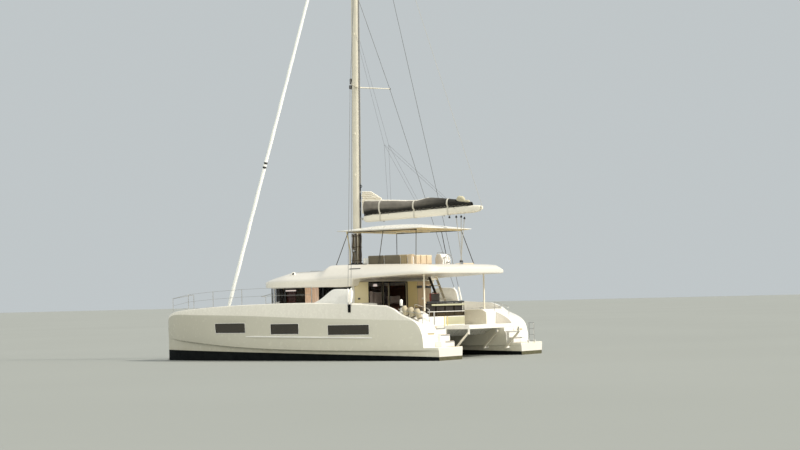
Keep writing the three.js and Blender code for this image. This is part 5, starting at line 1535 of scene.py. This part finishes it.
def flybridge_seats():
    form = Shape()
    form.box((-4.69, 1.34, FLY_Z), (-2.46, 1.97, 3.66), "gelcoat", 0.03, 3)
    form.box((-2.94, -0.34, FLY_Z), (-2.31, 1.97, 3.66), "gelcoat", 0.03, 3)
    form.box((-4.69, 1.9, 3.6), (-2.31, 1.955, 3.98), "gelcoat", 0.02, 3)
    form.box((-4.69, 0.73, FLY_Z), (-4.3, 1.35, 3.66), "gelcoat", 0.03, 3)
    form.box((-4.69, 0.73, 3.6), (-4.64, 1.9, 3.95), "gelcoat", 0.02, 3)
    form.box((-2.385, -0.34, 3.6), (-2.305, 1.975, 3.98), "gelcoat", 0.03, 3)
    for x in (-4.1, -3.5):
        form.box((x - 0.2, 1.335, 3.45), (x + 0.2, 1.345, 3.6), "nonskid", 0.006)
    piece("flybridge_bench", form, "hulls", "taupe_cushion", "flybridge_settee")
    for k, (x0, x1) in enumerate(((-4.68, -4.12), (-4.11, -3.55), (-3.54, -2.96))):
        cushion(f"fly_seat_{k}", (x0, 1.345, 3.662), (x1, 1.86, 3.79), "beige")
        cushion(f"fly_back_{k}", (x0, 1.8, 3.80), (x1, 1.9, 4.08), "beige", swell=0.015)
    for k, (y0, y1) in enumerate(((-0.33, 0.24), (0.25, 0.8), (0.81, 1.32))):
        cushion(f"fly_fore_seat_{k}", (-2.93, y0, 3.662), (-2.48, y1, 3.79), "taupe")
    for k, (y0, y1) in enumerate(((-0.33, 0.42), (0.43, 1.17), (1.18, 1.79))):
        cushion(f"fly_fore_back_{k}", (-2.49, y0, 3.80), (-2.39, y1, 4.08), "taupe", swell=0.015)
    for k, (x0, x1, look) in enumerate(((-3.33, -2.57, "umber"), (-4.1, -3.34, "umber"), (-4.44, -4.11, "drab"),
                                        (-4.69, -4.45, "beige"))):
        cushion(f"fly_outer_{k}", (x0, 1.957, 3.66), (x1, 2.03, 4.085), look, swell=0.012)
    for k, (y0, y1) in enumerate(((0.73, 1.13), (1.14, 1.54), (1.55, 1.94))):
        cushion(f"fly_aft_back_{k}", (-4.78, y0, 3.66), (-4.69, y1, 4.06), "beige", swell=0.014)
    cushion("fly_aft_seat", (-4.62, 0.75, 3.662), (-4.3, 1.33, 3.79), "beige")
    cushion("fly_corner_seat", (-2.93, 1.345, 3.662), (-2.4, 1.88, 3.79), "taupe")


flybridge_seats()


def helm():
    form = Shape()
    outline = [(-4.2, 3.9), (-4.09, 4.11), (-3.9, 4.11), (-3.83, 3.93), (-3.85, FLY_Z + GAP), (-4.2, FLY_Z + GAP)]
    form.prism(outline, (-1.5, -0.9), "Y", "lamp_white", 0.025, 20)
    slope = Vector((0.11, 0, 0.21)).normalized()
    base = Vector((-4.2, 0, 3.9))
    for y0, y1, a, b in ((-1.47, -1.14, 0.03, 0.2), (-1.1, -0.93, 0.09, 0.2)):
        out = Vector((-slope.z, 0, slope.x)) * 0.012
        corners = [base + slope * a, base + slope * b, base + slope * b + out, base + slope * a + out]
        form.prism([(c.x, c.z) for c in corners], (y0, y1), "Y", "lamp_white", 0.004)
    for y in (-1.08, -1.01, -0.94):
        p = base + slope * 0.05
        q = p + Vector((-slope.z, 0, slope.x)) * 0.02
        form.turned((p.x, y, p.z), (q.x, y, q.z), [(0, 0.018), (0.8, 0.018), (1, 0.012)], "black_plastic", 14)
    form.box((-4.02, -1.54, 3.9), (-3.94, -1.498, 4.0), "black_plastic", 0.01)
    form.tube([(-3.98, -1.52, 3.98), (-3.99, -1.525, 4.09)], 0.01, "stainless", 8)
    form.tube([(-3.93, -1.46, 4.1), (-3.92, -1.46, 4.17), (-3.92, -0.94, 4.17), (-3.93, -0.94, 4.1)], 0.012,
              "stainless", 8)
    form.box((-3.855, -1.43, 3.5), (-3.835, -0.97, 3.85), "gelcoat", 0.006)
    piece("helm_pod", form, "hulls", "gelcoat", "helm_console")
    wheel = Shape()
    x, y, z = -4.29, -1.2, 3.79
    ring = [(x, y + 0.3 * c, z + 0.3 * s) for c, s in around(48)]
    wheel.tube(ring, 0.015, "grey_plastic", 12, cyclic=True)
    wheel.turned((-4.2003, y, z), (x - 0.03, y, z), [(0, 0.032), (0.5, 0.032), (0.75, 0.05), (0.9, 0.05), (1, 0.035)],
                 "stainless", 20)
    for k in range(3):
        a = 2 * pi * k / 3 + pi / 2
        mid = (x - 0.012, y + 0.17 * cos(a), z + 0.17 * sin(a))
        wheel.tube([(x, y, z), mid, (x, y + 0.295 * cos(a), z + 0.295 * sin(a))], 0.011, "stainless", 10)
    piece("wheel", wheel, "steering_wheel", "stainless", "steering_wheel")
    seat = Shape()
    seat.box((-5.19, -1.64, FLY_Z + GAP), (-4.77, -0.76, 3.58), "gelcoat", 0.03, 3)
    piece("helm_bench", seat, "hulls", "taupe_cushion", "helm_seat")
    cushion("helm_seat_pad", (-5.15, -1.65, 3.582), (-4.76, -0.75, 3.70), "beige")
    cushion("helm_seat_back", (-5.23, -1.65, 3.582), (-5.15, -0.75, 3.73), "beige", swell=0.012)


helm()

# Cockpit and saloon


def cockpit():
    form = Shape()
    form.box((-5.09, -0.86, SOLE_Z + GAP), (-4.46, 1.79, 1.56), "gelcoat", 0.03, 3)
    form.box((-5.215, -0.86, SOLE_Z + GAP), (-5.08, 1.79, 1.62), "gelcoat", 0.02, 3)
    form.box((-5.219, -0.84, 1.29), (-5.21, 0.55, 1.6), "cream_green", 0.003)
    for y in (0.64, 0.42):
        form.box((-5.221, y - 0.03, SOLE_Z + GAP), (-5.2, y + 0.03, 1.62), "strip_tan", 0.004)
    form.box((-5.221, 1.33, 1.3), (-5.2, 1.41, 1.8), "grey_plastic", 0.008)
    for y in (-0.85, -0.2, 0.46, 1.12, 1.78):
        form.box((-5.2, y - 0.012, 1.6), (-5.17, y + 0.012, 2.1), "pole", 0.006)
    form.box((-5.2, -0.87, 2.14), (-5.15, 1.8, 2.215), "black_plastic", 0.015)
    form.box((-5.217, -0.87, 2.035), (-5.165, 1.5, 2.105), "cream_green", 0.012)
    form.box((-5.21, -0.87, 1.795), (-5.175, 1.8, 1.82), "lamp_white", 0.008)
    form.box((-5.17, -0.86, 1.62), (-5.155, 1.79, 1.77), "brown_dark", 0.004)
    piece("cockpit_bench_base", form, "hulls", "dark_cushion", "cockpit_bench")
    for k in range(4):
        y0, y1 = -0.86 + 0.6625 * k, -0.86 + 0.6625 * (k + 1) - 0.01
        cushion(f"cockpit_seat_{k}", (-5.07, y0, 1.562), (-4.45, y1, 1.68), "dark_cushion")
        cushion(f"cockpit_back_{k}", (-5.15, y0, 1.69), (-5.03, y1, 2.16), "dark_cushion", swell=0.016)
    table = Shape()
    table.box((-4.3, -0.45, 1.965), (-3.6, 1.35, 2.0), "teak", 0.012, 3)
    table.box((-4.28, -0.43, 1.952), (-3.62, 1.33, 1.968), "gelcoat", 0.006)
    for y in (0.15, 0.75):
        table.box((-4.3, y - 0.004, 1.997), (-3.6, y + 0.004, 2.0005), "rubber", 0)
    table.box((-4.03, 0.37, SOLE_Z + GAP), (-3.87, 0.53, 1.96), "gelcoat", 0.02, 3)
    table.box((-4.12, 0.25, SOLE_Z + GAP), (-3.78, 0.65, 1.29), "gelcoat", 0.02)
    piece("cockpit_table_dressed", table, "hulls", "wood", "cockpit_table")
    cushion("stowed_pad", (-5.16, 0.80, 2.19), (-5.04, 1.48, 2.55), "dark_cushion", swell=0.016, trim="red_piping")
    floor = Shape()
    for aft, fore, half in ((-5.92, -5.3, 2.0), (-4.4, -3.15, 1.95)):
        outline = plate(aft, fore, -half, half, 0.05)
        floor.prism(outline, (SOLE_Z - 0.001, SOLE_Z + 0.004), "Z", "teak")
    piece("cockpit_sole_panels", floor, "hulls", "wood")


cockpit()


def quarter_rail():
    """A slim rail beside the stern steps."""
    way = [(-6.02, 2.93, 1.4), (-6.02, 2.93, 1.93), (-5.35, 2.93, 2.14), (-5.35, 2.93, 1.72)]
    return Shape().tube(fillet(way, [0, 0.08, 0.08, 0], 4), 0.009, "stainless", 8)


both("quarter_rail_slim", quarter_rail(), "hulls", "stainless", "quarter_rail")


def saloon():
    board = Shape().box((-1.62, -1.9, SOLE_Z + GAP), (-1.0, 0.1, 2.1), "walnut", 0.015)
    board.box((-1.64, -1.92, 2.098), (-0.98, 0.12, 2.13), "walnut", 0.008)
    for k in range(3):
        board.box((-1.628, -1.86 + 0.66 * k, 1.35), (-1.612, -1.26 + 0.66 * k, 2.05), "walnut", 0.004)
    piece("saloon_sideboard", board, "hulls", "wood")
    # The saloon's mauve pads are made much lighter than their cloth: painted light inside the shaded saloon
    cushion("sideboard_pad_0", (-1.5, -0.76, 2.132), (-1.3, 0.06, 2.68), "mauve", swell=0.03)
    cushion("sideboard_pad_1", (-1.5, -1.86, 2.132), (-1.3, -0.99, 2.5), "mauve", swell=0.03)
    form = Shape()
    form.box((0.7, -1.5, SOLE_Z + GAP), (2.1, 0.6, 1.6), "walnut", 0.015)
    form.box((2.0, -1.5, 1.58), (2.1, 0.6, 2.12), "walnut", 0.015)
    form.box((0.7, 0.52, 1.58), (2.0, 0.6, 2.12), "walnut", 0.015)
    piece("saloon_settee_base", form, "hulls", "taupe_cushion", "saloon_settee")
    for k, (y0, y1) in enumerate(((-1.48, -0.82), (-0.81, -0.15), (-0.14, 0.50))):
        cushion(f"saloon_seat_{k}", (0.71, y0, 1.602), (1.9, y1, 1.70), "mauve")
        cushion(f"saloon_back_{k}", (1.88, y0, 1.71), (1.99, y1, 2.15), "mauve", swell=0.014)
    from_node("saloon_table", "walnut", 0.008)
    galley = Shape()
    galley.box((-2.14, 1.66, SOLE_Z + GAP), (0.69, 2.24, 2.1), "walnut", 0.01)
    galley.box((-2.14, 0.91, SOLE_Z + GAP), (-1.41, 1.69, 2.1), "walnut", 0.01)
    galley.box((-2.15, 1.65, 2.102), (0.7, 2.25, 2.14), "lamp_white", 0.008)
    galley.box((-2.15, 0.9, 2.102), (-1.4, 1.7, 2.14), "lamp_white", 0.008)
    for k in range(5):
        x = -1.3 + 0.4 * k
        galley.box((x - 0.18, 1.648, 1.35), (x + 0.18, 1.658, 2.0), "walnut", 0.004)
        galley.tube([(x + 0.12, 1.64, 1.9), (x + 0.12, 1.64, 1.98)], 0.005, "stainless", 6)
    galley.tube(spline([(-0.6, 2.12, 2.14), (-0.6, 2.12, 2.36), (-0.6, 2.02, 2.42), (-0.6, 1.95, 2.38)], 5), 0.009,
                "stainless", 8)
    galley.box((0.86, 2.2, 2.745), (1.36, 2.28, 2.80), "lamp_bright", 0.01)
    galley.turned((-2.2, 1.02, 2.86), (-2.2, 1.02, 2.96), [(0, 0.1), (1, 0.06)], "lamp_bright", 16)
    galley.box((-0.1, 2.3, 2.2), (1.3, 2.4, 2.24), "walnut", 0.01)
    galley.box((0.80, 2.26, 2.24), (1.22, 2.36, 2.71), "cabinet_red", 0.01)
    galley.box((0.36, 2.28, 2.24), (0.76, 2.36, 2.85), "brown_dark", 0.01)
    # A dark walnut liner along the starboard side inside the saloon: painted shade, a dark backdrop behind the glass
    galley.box((-2.3, -2.45, 1.3), (1.2, -2.3, 2.9), "walnut", 0.02)
    piece("galley_dressed", galley, "hulls", "wood", "galley")
    # The curtain glows through its cloth's emission: painted light
    rings = []
    for k in range(57):
        x = 0.22 - 0.68 * k / 56
        y = 2.47 + 0.018 * sin(2 * pi * k / 8)
        rings.append([(x, y + 0.004 * sin(j + k), 2.27 + 0.6 * j / 8) for j in range(9)])
    made = Shape().loft(rings, "peach_cloth", closed=False).object("window_curtain")
    thicken(made, 0.002)
    place(made, "hulls", "sailcloth", angle=70)
    cushion("galley_pad_0", (-2.1, 1.0, 2.142), (-1.95, 1.5, 2.7), "mauve", swell=0.02)
    cushion("galley_pad_1", (-1.8, 0.95, 2.142), (-1.65, 1.35, 2.62), "mauve", swell=0.02)


saloon()

swell_pads()

# Foredeck: nets, anchor gear, cleats and hatches


def inner_edge(x, z):
    """Where a hull's inner side stands, from the centreline."""
    row = row_at(HULL_SECTIONS, x)
    low, high = row[3] + 0.05, row[9]
    share = (z - low) / (high - low)
    return HULL_Y - INNER_SIDE * (row[5] + (row[8] - row[5]) * share)


def net():
    """Cords a finger's length apart, with a rope round them."""
    form = Shape()
    z, fore, aft, near, pitch = 1.8675, 6.19, 3.935, 0.065, 0.06
    for k in range(int((fore - aft) / pitch)):
        x = aft + 0.03 + pitch * k
        form.tube([(x, near, z), (x, inner_edge(x, z) - 0.012, z)], 0.0035, "net", 4)
    lines = int((inner_edge(fore, z) - near) / pitch)
    for k in range(lines):
        y = near + 0.03 + pitch * k
        places = [aft + (fore - aft) * j / 80 for j in range(81)]
        inside = [x for x in places if inner_edge(x, z) - 0.012 > y]
        if len(inside) > 1:
            form.tube([(inside[0], y, z), (inside[-1], y, z)], 0.0035, "net", 4)
    side = [(x, inner_edge(x, z) - 0.014, z) for x in [aft + (fore - aft) * j / 12 for j in range(13)]]
    form.tube([(aft, near, z), *side, (fore, near, z)], 0.007, "net", 6, cyclic=True)
    return form


both("net", net(), "hulls", "net", "trampoline")


def cleat(form, x, y, z):
    for dx in (-0.05, 0.05):
        form.turned((x + dx, y, z - 0.01), (x + dx, y, z + 0.045), [(0, 0.02), (0.3, 0.013), (1, 0.012)], "stainless",
                    10)
    form.tube([(x - 0.14, y, z + 0.06), (x - 0.07, y, z + 0.05), (x + 0.07, y, z + 0.05), (x + 0.14, y, z + 0.06)],
              [0.008, 0.014, 0.014, 0.008], "stainless", 8)


def deck_gear():
    form = Shape()
    for x in (5.75, 0.6):
        row = row_at(HULL_SECTIONS, x)
        cleat(form, x, HULL_Y + row[8] - 0.14, row[9])
    for x0, x1 in ((4.35, 4.9), (5.05, 5.4)):
        z = row_at(HULL_SECTIONS, x1)[9]
        tilt = row_at(HULL_SECTIONS, x0)[9] - z
        wide = 0.27 if x0 < 5 else 0.2
        for lift, edge, look in ((0.028, 0.0, "stainless"), (0.036, 0.035, "dark_glass")):
            plan = plate(x0 + edge, x1 - edge, -wide + edge, wide - edge, 0.05)
            form.loft([[(x, HULL_Y + y, z + tilt * (x1 - x) / (x1 - x0) + up) for x, y in plan]
                       for up in (-0.012, lift)], look)
    for x, y in ((-5.2, 3.62), (-5.0, 2.5)):
        cleat(form, x, y, SIDE_DECK_Z + 0.004 if x > -5.1 else 1.90)
    return form


both("deck_gear", deck_gear(), "hulls", "stainless")


def anchor_gear():
    """The roller at the longeron's end and the chain that leads to it."""
    form = Shape()
    z = 1.878
    for side in (1, -1):
        form.box((6.3, side * 0.052 - 0.004, 1.76), (6.62, side * 0.052 + 0.004, 1.90), "stainless", 0.003)
    form.turned((6.57, -0.048, 1.87), (6.57, 0.048, 1.87), [(0, 0.045), (0.5, 0.025), (1, 0.045)], "rubber", 16)
    for k in range(42):
        x = 3.98 + 0.05 * k
        turn = k % 2
        ring = []
        for c, s in around(10):
            across = 0.018 * s
            ring.append((x + 0.032 * c, 0.0 + (across if turn else 0), z + (0 if turn else across)))
        form.tube(ring, 0.006, "stainless", 5, cyclic=True)
    piece("anchor_roller", form, "hulls", "stainless")


anchor_gear()


def fenders():
    """Three fenders in cloth covers on the port quarter's slope, with their basket and a post."""
    form = Shape()
    for k in range(3):
        top = Vector((-5.36 - 0.27 * k, 3.70 - 0.03 * k, 2.08 - 0.06 * k))
        foot = top + Vector((-0.17, 0.01, -0.4))
        profile = [(0, 0.03), (0.03, 0.07), (0.10, 0.10), (0.3, 0.112), (0.7, 0.112), (0.9, 0.10), (0.97, 0.07),
                   (1, 0.03)]
        form.turned(tuple(top), tuple(foot), profile, "fender_cloth", 20)
        for share in (0.05, 0.93):
            at = top.lerp(foot, share)
            form.turned(tuple(at), tuple(at + (foot - top).normalized() * 0.02), [(0, 0.094), (1, 0.094)], "rope_dark",
                        16)
    form.turned((-5.16, 3.55, 1.86), (-5.16, 3.55, 2.32),
                [(0, 0.06), (0.12, 0.06), (0.14, 0.035), (0.45, 0.035), (0.5, 0.055), (0.92, 0.06), (1, 0.03)],
                "lamp_white", 18)
    form.turned((-5.16, 3.55, 2.0), (-5.16, 3.55, 2.07), [(0, 0.045), (1, 0.045)], "frame_black", 18)
    form.tube([(-5.3, 3.56, 1.9), (-6.12, 3.53, 1.78), (-6.17, 3.64, 1.77), (-6.13, 3.79, 1.78), (-5.36, 3.84, 1.9),
               (-5.28, 3.72, 1.91)], 0.011, "stainless", 10, cyclic=True)
    for x, y, low in ((-5.45, 3.55, 1.68), (-6.1, 3.53, 1.3)):
        form.tube([(x, y, 1.9 + (x + 5.3) * 0.146), (x, y, low)], 0.01, "stainless", 10)
    piece("fenders_port", form, "hulls", "sailcloth", angle=50)


fenders()

for name in ("bridgedeck", "stern_platform"):
    from_node(name, "gelcoat", 0.01)
from_node("crossbeam", "spar_paint", 0.0)
from_node("flybridge_stairs", "stair_paint", 0.008)
from_node("windlass", "stainless", 0.006)
from_node("swim_ladder", "stainless", 0.0)
for side in ("port", "starboard"):
    for name in ("keel", "rudder"):
        from_node(f"{name}_{side}", "antifoul", 0.004)
    from_node(f"saildrive_{side}", "grey_plastic", 0.004)
    from_node(f"propeller_{side}", "bronze", 0.0)
    from_node(f"engine_{side}", "engine_grey", 0.03, 3)
    from_node(f"engine_hatch_{side}", "nonskid", 0.006)
    from_node(f"locker_lid_{side}", "nonskid", 0.006)
    from_node(f"roof_pillar_{side}", "spar_paint", 0.0)
    for name in ("lift_arm_fore", "lift_arm_aft"):
        from_node(f"{name}_{side}", "spar_paint", 0.004)
    dress(f"lifelines_{side}", "stainless")
